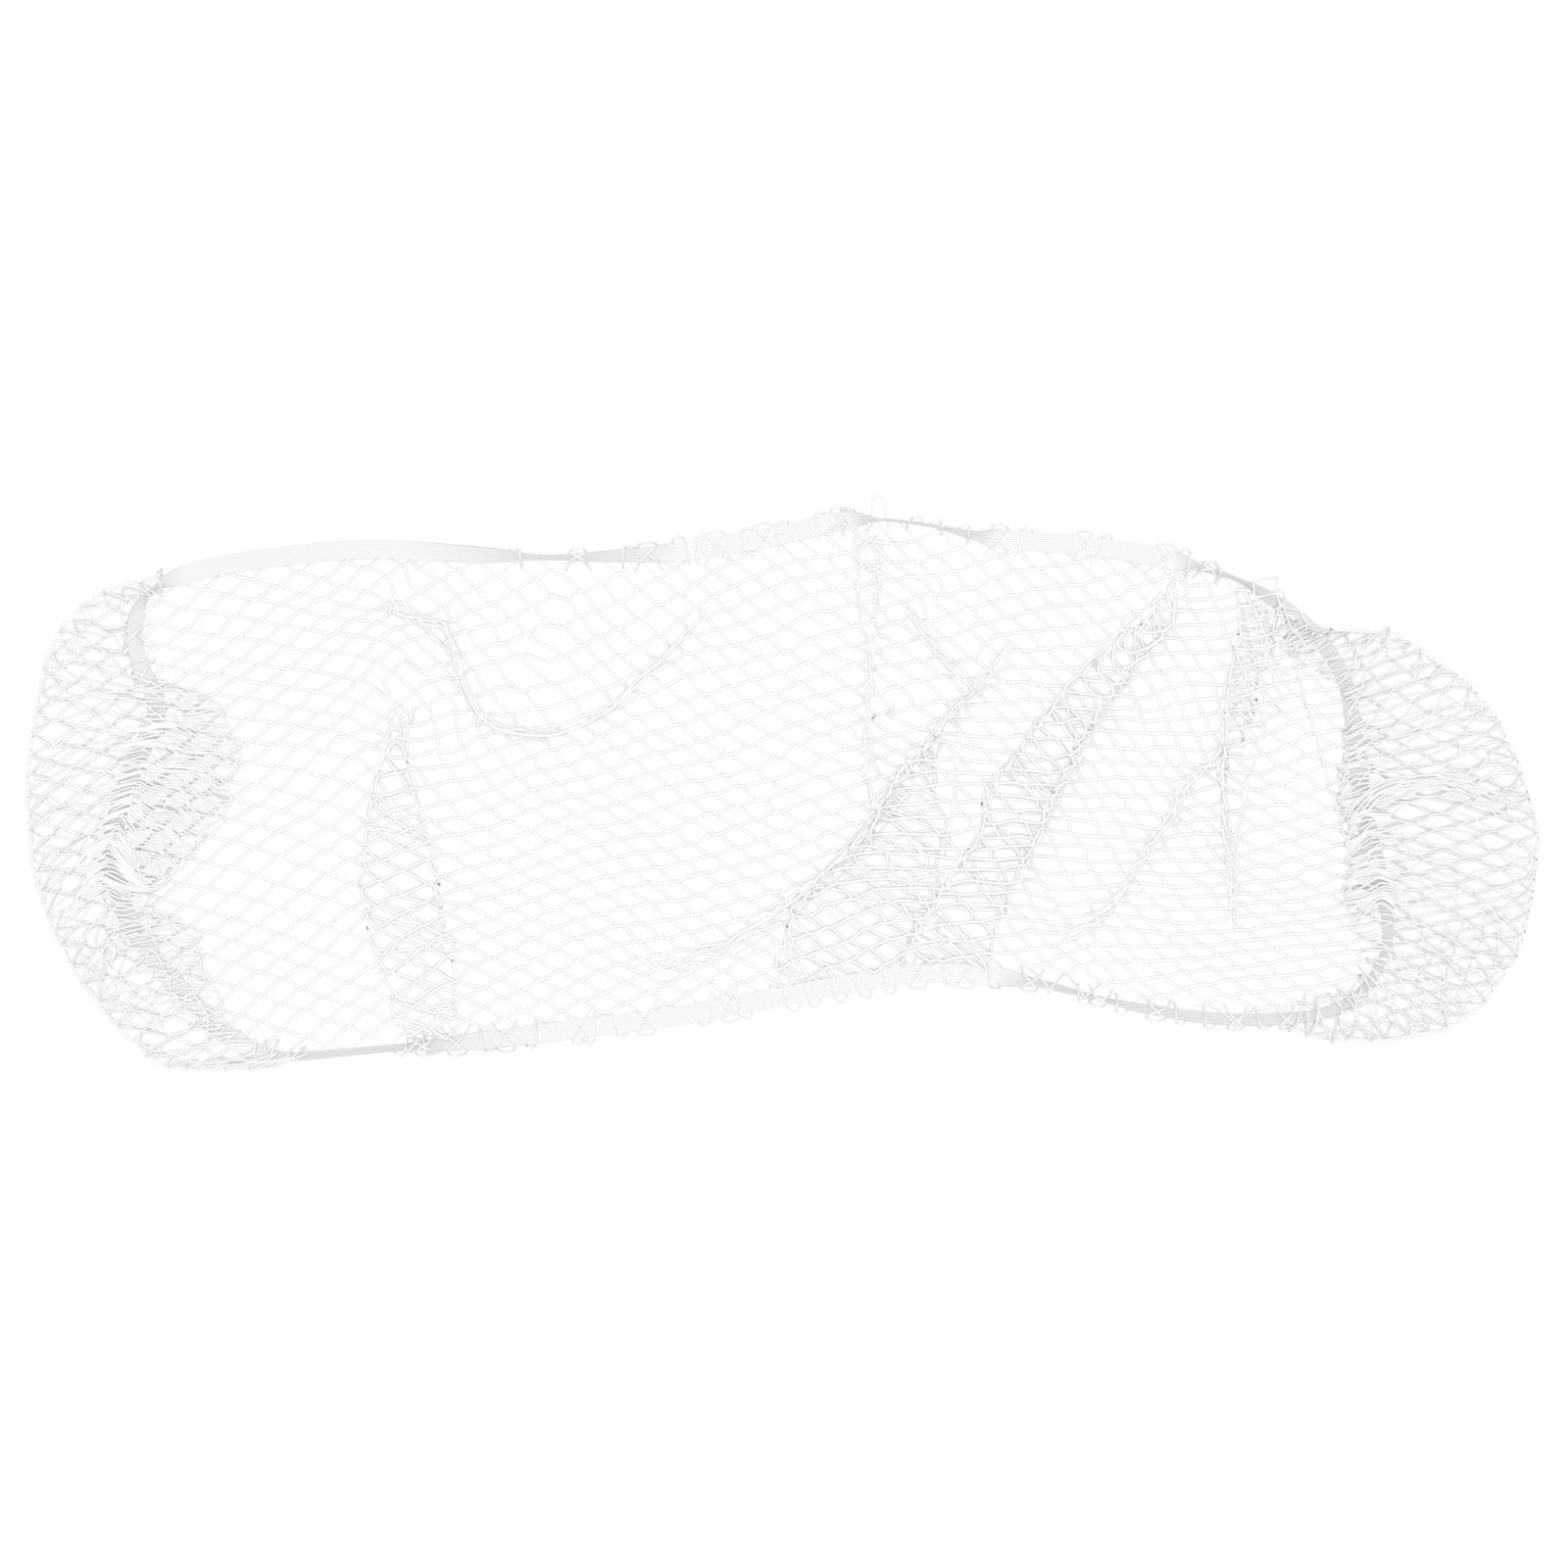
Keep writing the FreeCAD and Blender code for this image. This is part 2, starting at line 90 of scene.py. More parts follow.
def curve_point(p0, p1, p2, p3, t):
    """Place at share t from p1 to p2 on a smooth curve through four points."""
    return 0.5 * (2 * p1 + (p2 - p0) * t + (2 * p0 - 5 * p1 + 4 * p2 - p3) * t ** 2
                  + (3 * p1 - p0 - 3 * p2 + p3) * t ** 3)


def smooth_line(points, cuts):
    """Points of a smooth line through the given ones, with a number of cuts a span."""
    if len(points) < 3:
        return points
    padded = np.vstack([2 * points[0] - points[1], points, 2 * points[-1] - points[-2]])
    t = np.linspace(0, 1, cuts, endpoint=False)[None, :, None]
    line = curve_point(*(padded[k:len(padded) - 3 + k][:, None] for k in range(4)), t)
    return np.vstack([line.reshape(-1, points.shape[1]), points[-1:]])


# Elastic: closed route in millimetres, as (x, y, twist). 0 lies flat, 90 is on edge.
ROUTE = np.array([
    (-536, 164, 90), (-500, 180, 0), (-458, 189, 0), (-392, 197, 0), (-333, 199, 0),
    (-267, 195, 35), (-200, 192, 80), (-125, 194, 50), (-75, 199, 0), (0, 212, 0), (42, 222, 0),
    (83, 224, 90), (125, 219, 88), (160, 211, 70), (192, 207, 0), (250, 203, 0), (300, 196, 0),
    (325, 191, 0), (352, 184, 75), (385, 173, 85), (412, 158, 60), (438, 138, 40), (458, 117, 50),
    (475, 88, 52), (483, 50, 50), (488, 8, 25), (496, -42, 15), (507, -88, 45), (512, -121, 66),
    (507, -150, 72), (488, -177, 72), (458, -194, 62), (408, -200, 58), (358, -198, 58),
    (308, -191, 66), (267, -182, 80), (217, -169, 70), (167, -162, 0), (117, -161, 0),
    (67, -168, 0), (0, -180, 0), (-83, -196, 0), (-167, -207, 0), (-250, -217, 30),
    (-333, -224, 75), (-417, -231, 70), (-448, -228, 0), (-479, -208, 0), (-508, -179, 0),
    (-538, -146, 0), (-562, -104, 0), (-571, -62, 0), (-565, -21, 0), (-550, 21, 0),
    (-535, 52, 0), (-534, 74, 25), (-543, 94, 40), (-550, 117, 45), (-549, 142, 50),
], dtype=float)
BAND_WIDTH = 16.0
BAND_THICKNESS = 1.5
# Height of its lower edge, and its ribs and cross threads, in millimetres
BAND_SEAT = 2.0
RIBS = 9
RIB_DEPTH = 0.16
KNIT_PITCH = 0.9
STATIONS_PER_SPAN = 12


def elastic_stations():
    """Centre, direction, side and twist of the elastic along its route, in millimetres."""
    n = len(ROUTE)
    places = np.arange(n * STATIONS_PER_SPAN) / STATIONS_PER_SPAN
    span = places.astype(int)
    share = (places - span)[:, None]
    centre = curve_point(*(ROUTE[(span + k) % n, :2] for k in (-1, 0, 1, 2)), share)
    angle, following = ROUTE[span, 2], ROUTE[(span + 1) % n, 2]
    twist = np.radians(angle + (following - angle) * ease(share[:, 0]))
    along = unit(np.roll(centre, -1, 0) - np.roll(centre, 1, 0))
    return centre, along, quarter_turn(along), twist


BAND_CENTRE, BAND_ALONG, BAND_SIDE, BAND_TWIST = elastic_stations()
# The same on the view: middle of the elastic, and the direction out from the netting
BAND_VIEW = np.stack([BAND_CENTRE[:, 0] * UNITS_PER_MM + VIEW_SIZE / 2,
                      VIEW_SIZE / 2 - BAND_CENTRE[:, 1] * UNITS_PER_MM], -1)
BAND_OUT = np.stack([BAND_SIDE[:, 0], -BAND_SIDE[:, 1]], 1)


# --- meshes made from arrays
def link_object(name, data):
    item = bpy.data.objects.new(name, data)
    bpy.context.collection.objects.link(item)
    return item


def new_object(name, vertices, faces, material, uvs):
    mesh = bpy.data.meshes.new(name)
    mesh.from_pydata(vertices.tolist(), [], [list(face) for face in faces])
    mesh.polygons.foreach_set("use_smooth", np.ones(len(faces), dtype=bool))
    layer = mesh.uv_layers.new(name="along")
    loops = np.empty(len(mesh.loops), dtype=np.int32)
    mesh.loops.foreach_get("vertex_index", loops)
    layer.data.foreach_set("uv", uvs[loops].astype(np.float32).ravel())
    mesh.update()
    item = link_object(name, mesh)
    mesh.materials.append(material)
    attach(item, "root")
    return item


def twine_mesh(lines, radius, widths=None):
    """One mesh of twine along many lines. Slack twine lies flatter, by a width for each."""
    vertices, faces, uvs = [], [], []
    start = 0
    sides = TWINE_SIDES
    angles = np.arange(sides) * 2 * math.pi / sides
    j = np.arange(sides)[None, :]
    k = (j + 1) % sides
    for line, width in zip(lines, widths or [1.0] * len(lines)):
        line = line[np.append(True, lengths(np.diff(line, axis=0)) > 1e-5)]
        if len(line) < 2:
            continue
        tangent = np.gradient(line, axis=0)
        tangent /= lengths(tangent)[:, None] + 1e-12
        side = np.cross(tangent, (0, 0, 1))
        side[lengths(side) < 0.05] = (1, 0, 0)
        side = unit(side)
        top = np.cross(side, tangent)
        ring = (side[:, None] * np.cos(angles)[None, :, None] * width
                + top[:, None] * np.sin(angles)[None, :, None]) * radius
        vertices.append((line[:, None] + ring).reshape(-1, 3))
        i = np.arange(len(line) - 1)[:, None] * sides
        quads = np.stack([i + j, i + k, i + sides + k, i + sides + j], -1)
        faces.append(quads.reshape(-1, 4) + start)
        uvs.append(np.stack([np.tile(angles / (2 * math.pi), len(line)),
                             np.repeat(run_length(line) / MM, sides)], 1))
        start += len(line) * sides
    return np.vstack(vertices), np.vstack(faces), np.vstack(uvs)


# --- materials
def connect(tree, node, inputs):
    """Inputs of a shader node, each a value or the output of another node."""
    for socket, source in inputs.items():
        if isinstance(source, bpy.types.NodeSocket):
            tree.links.new(source, node.inputs[socket])
        else:
            node.inputs[socket].default_value = source


def add_node(tree, kind, inputs=None):
    node = tree.nodes.new("ShaderNode" + kind)
    connect(tree, node, inputs or {})
    return node


def add_math(tree, operation, *inputs):
    node = add_node(tree, "Math", dict(enumerate(inputs)))
    node.operation = operation
    return node.outputs["Value"]


def add_wave(tree, inputs):
    wave = add_node(tree, "TexWave", inputs)
    wave.bands_direction = "DIAGONAL"
    return wave.outputs["Fac"]


def add_ramp(tree, source, greys, start=0.0):
    """Colour that runs between two greys, from a start on."""
    ramp = add_node(tree, "ValToRGB", {"Fac": source})
    for element, grey in zip(ramp.color_ramp.elements, greys):
        element.color = (grey, grey, grey, 1)
    ramp.color_ramp.elements[0].position = start
    return ramp.outputs["Color"]


def new_material(name, look, grey, roughness, sheen, bump, depth):
    """Material, with the colour and bump height that its look adds to the node tree."""
    made = bpy.data.materials.new(name)
    made.use_nodes = True
    tree = made.node_tree
    shader = tree.nodes["Principled BSDF"]
    connect(tree, shader, {"Base Color": (grey, grey, grey, 1), "Roughness": roughness,
                           "Sheen Weight": sheen})
    colour, height = look(tree, add_node(tree, "TexCoord").outputs)
    relief = add_node(tree, "Bump", {"Strength": bump, "Distance": depth, "Height": height})
    connect(tree, shader, {"Base Color": colour, "Normal": relief.outputs["Normal"]})
    return made, shader


def twine_look(tree, place):
    """Two plies wound round the twine, fine fibres and slight soiling."""
    turned = add_node(tree, "Mapping", {"Vector": place["UV"], "Scale": (2.0, 0.55, 1)})
    plies = add_wave(tree, {"Vector": turned.outputs["Vector"], "Scale": 1.0,
                            "Distortion": 1.2})
    fibres = add_node(tree, "TexNoise", {"Vector": place["Object"], "Scale": 900, "Detail": 4})
    tone = add_node(tree, "TexNoise", {"Vector": place["Object"], "Scale": 26})
    return (add_ramp(tree, tone.outputs["Fac"], (0.982, 0.998)),
            add_math(tree, "ADD", plies, fibres.outputs["Fac"]))


def elastic_look(tree, place):
    """Painted shade: a greyer colour in the hollows between the ribs of the knitted elastic, and
    fine cross threads.
    """
    split = add_node(tree, "SeparateXYZ", {"Vector": place["UV"]}).outputs
    ribs = add_math(tree, "COSINE", add_math(tree, "MULTIPLY", split["X"], RIBS * 2 * math.pi))
    painted_rib_shade = add_node(tree, "MapRange", {"Value": ribs, "From Min": -1})
    threads = add_math(tree, "MULTIPLY", split["Y"], 2 * math.pi / KNIT_PITCH)
    # Painted shade: the colour falls from 0.975 to 0.8 in the hollows between the ribs
    return (add_ramp(tree, painted_rib_shade.outputs["Result"], (0.975, 0.8), 0.7),
            add_math(tree, "SINE", threads))


def thread_look(tree, place):
    """Plies of the sewing thread."""
    plies = add_wave(tree, {"Vector": place["UV"], "Scale": 2.5})
    return add_ramp(tree, plies, (0.7, 0.9)), plies


TWINE, TWINE_SHADER = new_material("white_twine", twine_look, grey=0.95, roughness=0.75,
                                   sheen=0.3, bump=0.3, depth=0.2 * MM)
TWINE_SHADER.inputs["Specular IOR Level"].default_value = 0.2
ELASTIC, _ = new_material("white_elastic", elastic_look, grey=0.85, roughness=0.6,
                          sheen=0.2, bump=0.35, depth=0.2 * MM)
THREAD, _ = new_material("white_thread", thread_look, grey=0.82, roughness=0.45,
                         sheen=0.1, bump=0.4, depth=0.1 * MM)


# --- elastic
def ribbed_section():
    """Closed outline of the elastic seen end on, with round ribs on both faces."""
    x = np.linspace(-0.5, 0.5, RIBS * 4 + 1)
    ribs = 0.5 + 0.5 * np.cos((x + 0.5) * RIBS * 2 * math.pi)
    rise = BAND_THICKNESS / 2 - RIB_DEPTH * ribs
    upper = np.stack([x * BAND_WIDTH, rise], 1)
    lower = np.stack([x[::-1] * BAND_WIDTH, -rise[::-1]], 1)
    return np.vstack([upper, lower]), np.concatenate([x + 0.5, x[::-1] + 0.5])


def band_rings(picked, lift):
    """Rings of the ribbed elastic at route stations, with faces and places on the band."""
    outline, share = ribbed_section()
    n, m = len(picked), len(outline)
    side = np.column_stack([BAND_SIDE[picked], np.zeros(n)])
    up = np.array((0.0, 0.0, 1.0))
    twist = BAND_TWIST[picked]
    cosine, sine = np.cos(twist)[:, None], np.sin(twist)[:, None]
    across = side * cosine + up * sine
    through = up * cosine - side * sine
    rise = BAND_WIDTH / 2 * np.sin(twist) + BAND_THICKNESS / 2 * np.cos(twist)
    middle = np.column_stack([BAND_CENTRE[picked], BAND_SEAT + rise + lift])
    rings = (middle[:, None] + across[:, None] * outline[None, :, :1]
             + through[:, None] * outline[None, :, 1:])
    uvs = np.stack([np.tile(share, n), np.repeat(run_length(BAND_CENTRE[picked]), m)], 1)
    i = np.arange(n)[:, None] * m
    j = np.arange(m)[None, :]
    following = (i + m) % (n * m)
    k = (j + 1) % m
    faces = np.stack([i + j, following + j, following + k, i + k], -1)
    return rings.reshape(-1, 3) * MM, faces, uvs


def make_elastic():
    vertices, faces, uvs = band_rings(np.arange(len(BAND_CENTRE)), 0)
    item = new_object("elastic_band", vertices, faces.reshape(-1, 4), ELASTIC, uvs)
    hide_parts("elastic_top", "elastic_right", "elastic_bottom", "elastic_left")


# Splice: its place on the route, counted in points, its length and its stitches
SPLICE_PLACE = 56
SPLICE_LENGTH = 22.0
STITCH_ROWS = (-7.0, 0.0, 7.0)
STITCHES = 25
STITCH_REACH = 6.8
STITCH_SWAY = 0.75
THREAD_RADIUS = 0.24 * MM


def make_splice():
    """Lapped end of the elastic, and the thread sewn through it in three rows."""
    centre = SPLICE_PLACE * STATIONS_PER_SPAN
    apart = lengths(BAND_CENTRE - BAND_CENTRE[centre])
    near = np.arange(centre - STATIONS_PER_SPAN, centre + STATIONS_PER_SPAN + 1)
    picked = near[apart[near] <= SPLICE_LENGTH / 2]
    vertices, faces, uvs = band_rings(picked, BAND_THICKNESS)
    m = len(vertices) // len(picked)
    caps = [list(range(m)), list(range(len(vertices) - 1, len(vertices) - m - 1, -1))]
    lap = new_object("splice_lap_end", vertices,
                     faces[:-1].reshape(-1, 4).tolist() + caps, ELASTIC, uvs)
    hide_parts("splice_lap")
    even = np.arange(STITCHES) % 2 == 0
    across = np.linspace(-STITCH_REACH, STITCH_REACH, STITCHES)[:, None]
    height = BAND_SEAT + 2 * BAND_THICKNESS + np.where(even, -0.1, 0.22)
    rows = []
    for offset in STITCH_ROWS:
        sway = np.where(even, STITCH_SWAY, -STITCH_SWAY)
        flat = (BAND_CENTRE[centre] + BAND_ALONG[centre] * (offset + sway)[:, None]
                + BAND_SIDE[centre] * across)
        rows.append(smooth_line(np.column_stack([flat, height]) * MM, 3))
    vertices, faces, uvs = twine_mesh(rows, THREAD_RADIUS)
    thread = new_object("splice_thread", vertices, faces, THREAD, uvs)
    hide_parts("splice_stitches")


# --- netting across the middle
# Mesh read at places of the view: (x, y), then one mesh along and one across, y up
READINGS = np.array([
    (190, 650, 45, 9, -3, 22), (300, 720, 46.5, 13.5, -5.5, 20.5), (330, 620, 44, 12, -6, 21),
    (300, 950, 47, 10, -5, 26), (120, 900, 46, 10, -4, 22), (450, 745, 30, -18, 14, 26),
    (480, 600, 39, -5, 5, 28), (615, 675, 39, -9, 5, 27), (720, 675, 40, -5, 3, 25),
    (825, 730, 47, -2, -1, 22), (510, 868, 40, 2, 1, 20), (650, 895, 44, -6, 4, 22),
    (750, 980, 44, -4, 3, 21), (950, 600, 44, -10, 5, 21), (1010, 790, 42, -12, 12, 18),
    (1150, 820, 30, -18, 16, 12), (1160, 930, 36, -17, 7, 18), (1205, 690, 29, -16, 13, 15),
    (1120, 620, 44, -13, 8, 20), (1210, 600, 40, -14, 9, 19), (1230, 960, 42, -15, 2, 19),
    (1040, 640, 44, -9, 6, 19), (1300, 850, 45, -2, 4, 13), (1320, 770, 42, -4, 2, 27),
    (1330, 940, 52, -4, -6, 14), (1460, 850, 48, -2, 0, 18),
], dtype=float)
READING_REACH = 62.0
# View units are brought down by this for the fit, which is worked out in parts
FIT_SCALE = 0.02
FIT_PART = 20000
# Where the mesh is read most closely: middle and reach
LATTICES = (((1165.0, 790.0), (75.0, 110.0)), ((1312.0, 900.0), (60.0, 90.0)))

# Folds lying double, as (y, left edge, right edge)
FOLDS = {
    "left_wedge": (
        (722, 404, 405), (760, 393, 413), (800, 383, 425), (840, 373, 433), (880, 366, 440),
        (920, 368, 452), (960, 375, 460), (1010, 400, 466), (1080, 425, 475),
    ),
    "centre_pleat": (
        (520, 874, 898), (570, 873, 896), (610, 877, 893), (640, 880, 890), (700, 883, 888),
        (760, 884, 888), (810, 886, 886),
    ),
    "middle_spread": (
        (712, 977, 977), (745, 957, 977), (770, 938, 976), (800, 918, 974), (830, 898, 970),
        (860, 875, 966), (890, 852, 961), (925, 832, 952), (960, 815, 936), (1000, 800, 915),
    ),
    "long_diagonal": (
        (585, 1206, 1208), (615, 1175, 1203), (640, 1148, 1192), (670, 1116, 1168),
        (700, 1090, 1146), (735, 1062, 1122), (770, 1036, 1100), (800, 1016, 1086),
        (850, 1000, 1062), (885, 975, 1046), (920, 957, 1034), (960, 932, 1020),
        (1000, 915, 1000),
    ),
    "right_wedge": (
        (560, 1270, 1305), (610, 1263, 1302), (650, 1258, 1300), (700, 1255, 1296),
        (740, 1251, 1288), (780, 1249, 1279), (820, 1248, 1269), (860, 1251, 1262),
        (900, 1256, 1259), (955, 1257, 1257),
    ),
}
# How many times the layer in between is stretched, and how round the turns are
BETWEEN = 2.2
TURN = 0.14
# How far the turned layer of each fold lies aslant, in meshes
SLANTS = (1.2, 0.0, 2.2, 2.2, 0.8)

# Stretches that ridges and creases share
SWAG_FALL = ((402, 622), (430, 632), (455, 642), (466, 670), (475, 704), (500, 736), (530, 747))
SWAG_RISE = ((560, 750), (590, 742), (617, 726), (645, 700), (690, 660), (725, 620))
SWEEP_TOP = ((977, 716), (952, 750), (925, 785))
SWEEP_MIDDLE = ((898, 822), (868, 862))
SWEEP_END = ((825, 902), (770, 945), (700, 978))
NEAR_WEDGE = ((1208, 800), (1190, 836), (1166, 872), (1140, 915))
DIAGONAL_RIGHT = ((1208, 612), (1190, 642), (1166, 673), (1146, 698), (1122, 735), (1100, 771),
                  (1085, 803), (1062, 850))
DIAGONAL_LEFT = ((1176, 612), (1148, 640), (1116, 670), (1090, 700), (1062, 735), (1036, 770),
                 (1014, 803), (998, 852), (974, 888), (946, 940))

# Raised ridges: height, netting drawn in from each side, and places along the crest
RIDGES = (
    (11, 27, ((368, 592), (385, 610), *SWAG_FALL, *SWAG_RISE, (742, 600))),
    (10, 16, ((918, 612), (935, 638), (955, 662), (974, 684), (977, 712))),
    (9, 26, ((1036, 648), (1018, 672), (1000, 692), *SWEEP_TOP, *SWEEP_MIDDLE, *SWEEP_END,
             (610, 988))),
    (8, 25, ((1262, 745), (1232, 776), *NEAR_WEDGE, (1105, 950), (1055, 968))),
    (7, 10, ((890, 620), (888, 660), (885, 720), (886, 775), (888, 850))),
    (5, 10, ((404, 725), (392, 758), (379, 790), (370, 840), (366, 900), (372, 955))),
    (4, 8, ((408, 735), (420, 790), (434, 840), (446, 890), (458, 950))),
    (6, 12, ((1257, 955), (1256, 905), (1250, 850), (1248, 800), (1251, 745), (1256, 690),
             (1262, 640))),
    (6, 9, (*DIAGONAL_RIGHT, (1044, 890), (1020, 940))),
    (4, 7, (*DIAGONAL_LEFT, (922, 985))),
)

# Strands bunched along the ridges and the edges of the folds: height, places of the
# strands to one side, and places along the crease
CREASES = (
    (12, (-5.0, -1.4, 2.0, 5.6), ((376, 600), *SWAG_FALL, (570, 750))),
    (10, (-1.0, 1.8), ((540, 750), *SWAG_RISE)),
    (11, (-4.5, -1.5, 1.2, 4.2), ((922, 618), (940, 643), (958, 666), (976, 688))),
    (10, (-3.4, -0.6, 2.4), ((1030, 654), (1014, 676), (996, 697), *SWEEP_TOP, *SWEEP_MIDDLE)),
    (9, (-17, -9.5, -3, 1.5), ((915, 800), *SWEEP_MIDDLE, *SWEEP_END, (640, 988))),
    (9, (-4.5, -0.8, 3.2), ((1246, 762), (1226, 781), *NEAR_WEDGE, (1106, 949))),
    (8, (-1.6, 1.2), ((886, 636), (885, 700), (884, 760), (888, 832))),
    (7, (-1.5, 1.6), ((874, 538), (875, 590), (880, 640))),
    (7, (-1.5, 1.6), ((899, 540), (897, 590), (891, 640))),
    (8, (-1.2, 1.4), ((977, 718), (977, 770), (971, 830), (964, 885))),
    (9, (-2.4, 0.2, 2.6), (*DIAGONAL_RIGHT, (1046, 885))),
    (8, (-1.6, 1.4), DIAGONAL_LEFT),
    (7, (-1.2, 1.2), ((406, 720), (396, 752), (387, 784), (382, 806))),
    (7, (-1.0, 1.2), ((407, 728), (415, 765), (422, 795), (426, 815))),
    (9, (-3.2, -1.0, 1.4, 3.2), ((1258, 948), (1256, 905), (1251, 850), (1248, 800),
     (1251, 745))),
    (8, (-1.6, 1.6), ((1258, 930), (1262, 860), (1269, 812), (1278, 775))),
)

# Grid over the view on which the mesh is fitted
GRID_X = np.arange(-60, 1670, 60.0)
GRID_Y = np.arange(440, 1180, 45.0)


def read_mesh(places):
    """Mesh vectors at places of the view, blended from the readings."""
    apart = ((places[:, None] - READINGS[None, :, :2]) ** 2).sum(-1)
    weight = np.exp(-apart / (2 * READING_REACH ** 2)) + 1e-9
    weight += 1e-3 / (1 + apart / READING_REACH ** 2) ** 2
    weight /= weight.sum(1)[:, None]
    mesh = weight @ READINGS[:, 2:] * (1, -1, 1, -1)
    return mesh[:, :2], mesh[:, 2:]


def nearest_on(places, line):
    """Nearest point of a line to each place, its distance and share of the length."""
    best = np.full(len(places), np.inf)
    foot = np.zeros_like(places)
    share = np.zeros(len(places))
    for i in range(len(line) - 1):
        a, b = line[i], line[i + 1]
        run = b - a
        t = np.clip(((places - a) @ run) / (run @ run), 0, 1)
        here = a + t[:, None] * run
        apart = lengths(places - here)
        closer = apart < best
        best[closer] = apart[closer]
        foot[closer] = here[closer]
        share[closer] = (i + t[closer]) / (len(line) - 1)
    return foot, best, share


def drawn_in(places, drawn, crest):
    """Foot on a ridge's crest, distance from it, how far it draws in, and its taper."""
    line = smooth_line(np.array(crest, dtype=float), 4)
    foot, apart, share = nearest_on(places, line)
    taper = ease(np.clip(np.minimum(share, 1 - share) * 6, 0, 1))
    taken = 0.9 * apart / (1 + (apart / drawn) ** 4) ** 0.25
    taken = taken * np.exp(-(apart / 120) ** 2) * taper
    return foot, apart, taken, taper


def ridged(places):
    """Netting drawn together along the raised ridges, and how high it stands."""
    lift = np.zeros(len(places))
    for height, drawn, crest in RIDGES:
        foot, apart, taken, taper = drawn_in(places, drawn, crest)
        places = foot + (places - foot) * (1 - taken / (apart + 1e-9))[:, None]
        lift += height * taper * np.exp(-((apart - taken) / 6) ** 2)
    return places, lift


def ridge_material(nodes, pairs):
    """Netting that lies bunched in the ridges between pairs of places, as a run."""
    extra = np.zeros((len(pairs), 2))
    for _, drawn, crest in RIDGES:
        foot, apart, taken, taper = drawn_in(nodes, drawn, crest)
        normal = (nodes - foot) / (apart[:, None] + 1e-9)
        bunched = np.where(apart < 1.3 * drawn, taken, 0.85 * drawn * taper)[:, None] * normal
        first, second = pairs.T
        across = (normal[first] * normal[second]).sum(1) < 0
        nearer = np.minimum(apart[first], apart[second])
        counts = (across & (nearer < 70)) | (nearer < drawn)
        extra += (bunched[second] - bunched[first]) * counts[:, None]
    return extra


def cross(u, v):
    return u[:, 0] * v[:, 1] - u[:, 1] * v[:, 0]


def mesh_places():
    """Mesh places of a grid over the view, fitted to the readings."""
    gx, gy = np.meshgrid(GRID_X, GRID_Y, indexing="ij")
    nodes = np.stack([gx.ravel(), gy.ravel()], 1)
    number = np.arange(len(nodes)).reshape(gx.shape)
    pairs = np.vstack([
        np.stack([number[:-1].ravel(), number[1:].ravel()], 1),
        np.stack([number[:, :-1].ravel(), number[:, 1:].ravel()], 1),
    ])
    seen, _ = ridged(nodes)
    first, second = pairs.T
    run = seen[second] - seen[first] + ridge_material(nodes, pairs)
    along, across = read_mesh((seen[first] + seen[second]) / 2)
    columns = cross(run, across) / cross(along, across)
    rows = cross(along, run) / cross(along, across)
    middle = (nodes[first] + nodes[second]) / 2
    counted = np.ones(len(pairs) + 1)
    for centre, reach in LATTICES:
        counted[:-1] += 5 * np.exp(-(((middle - centre) / reach) ** 2).sum(1))
    system = np.zeros((len(pairs) + 1, len(nodes)))
    system[np.arange(len(pairs)), first] = -1
    system[np.arange(len(pairs)), second] = 1
    system[-1, number[len(GRID_X) // 2, len(GRID_Y) // 2]] = 1
    system *= counted[:, None]

    def fitted(steps):
        return np.linalg.lstsq(system, np.append(steps, 0) * counted, rcond=None)[0]

    labels = np.stack([fitted(columns), fitted(rows)], 1)
    for _ in range(2):
        hidden = np.zeros(len(pairs))
        for edge, width in fold_lines(nodes, labels):
            right = labels[:, 0] > edge(labels[:, 1])
            w = width(labels[:, 1])
            hidden += (right[first] & right[second]) * (1 + 1 / BETWEEN) * (w[second] - w[first])
        labels[:, 0] = fitted(columns - hidden)
    return nodes, labels


def plate_fit(known, values):
    """Smooth function through scattered values, bent as little as can be."""
    def bend(apart):
        return 0.5 * apart * np.log(apart + 1e-9)

    n = len(known)
    apart = ((known[:, None] - known[None]) ** 2).sum(-1)
    system = np.zeros((n + 3, n + 3))
    system[:n, :n] = bend(apart) + np.eye(n) * 1e-3
    system[:n, n] = 1
    system[:n, n + 1:] = known
    system[n:, :n] = system[:n, n:].T
    solved = np.linalg.solve(system, np.vstack([values, np.zeros((3, values.shape[1]))]))

    def fitted(places):
        found = np.empty((len(places), values.shape[1]))
        for first in range(0, len(places), FIT_PART):
            part = places[first:first + FIT_PART]
            near = ((part[:, None] - known[None]) ** 2).sum(-1)
            found[first:first + FIT_PART] = (
                bend(near) @ solved[:n] + solved[n] + part @ solved[n + 1:])
        return found
    return fitted


def fold_lines(nodes, labels):
    """Right edge and width of each fold against the row, in meshes."""
    to_labels = plate_fit(nodes * FIT_SCALE, labels)
    lines = []
    for stations in FOLDS.values():
        y, *sides = np.array(stations, dtype=float).T
        left, right = (to_labels(np.stack([x, y], 1) * FIT_SCALE) for x in sides)
        order, beside = np.argsort(right[:, 1]), np.argsort(left[:, 1])
        rows, edges = right[order, 1], right[order, 0]
        widths = np.maximum(edges - np.interp(rows, left[beside, 1], left[beside, 0]), 0)
        widths[[0, -1]] *= (widths[[0, -1]] > 0.15)
        wide = np.clip((widths - 0.3) / 0.7, 0, 1)
        edges = edges + 1.3 * TURN * wide
        widths = widths + 2.6 * TURN * wide
        lines.append((
            lambda q, r=rows, e=edges: np.interp(q, r, e),
            lambda q, r=rows, w=widths: np.interp(q, r, w),
        ))
    return lines


NODES, LABELS = mesh_places()
FOLD_LINES = fold_lines(NODES, LABELS)
TO_VIEW = plate_fit(LABELS, NODES)

# Lift of one layer over the next, in millimetres
FOLD_LIFT = 3.2


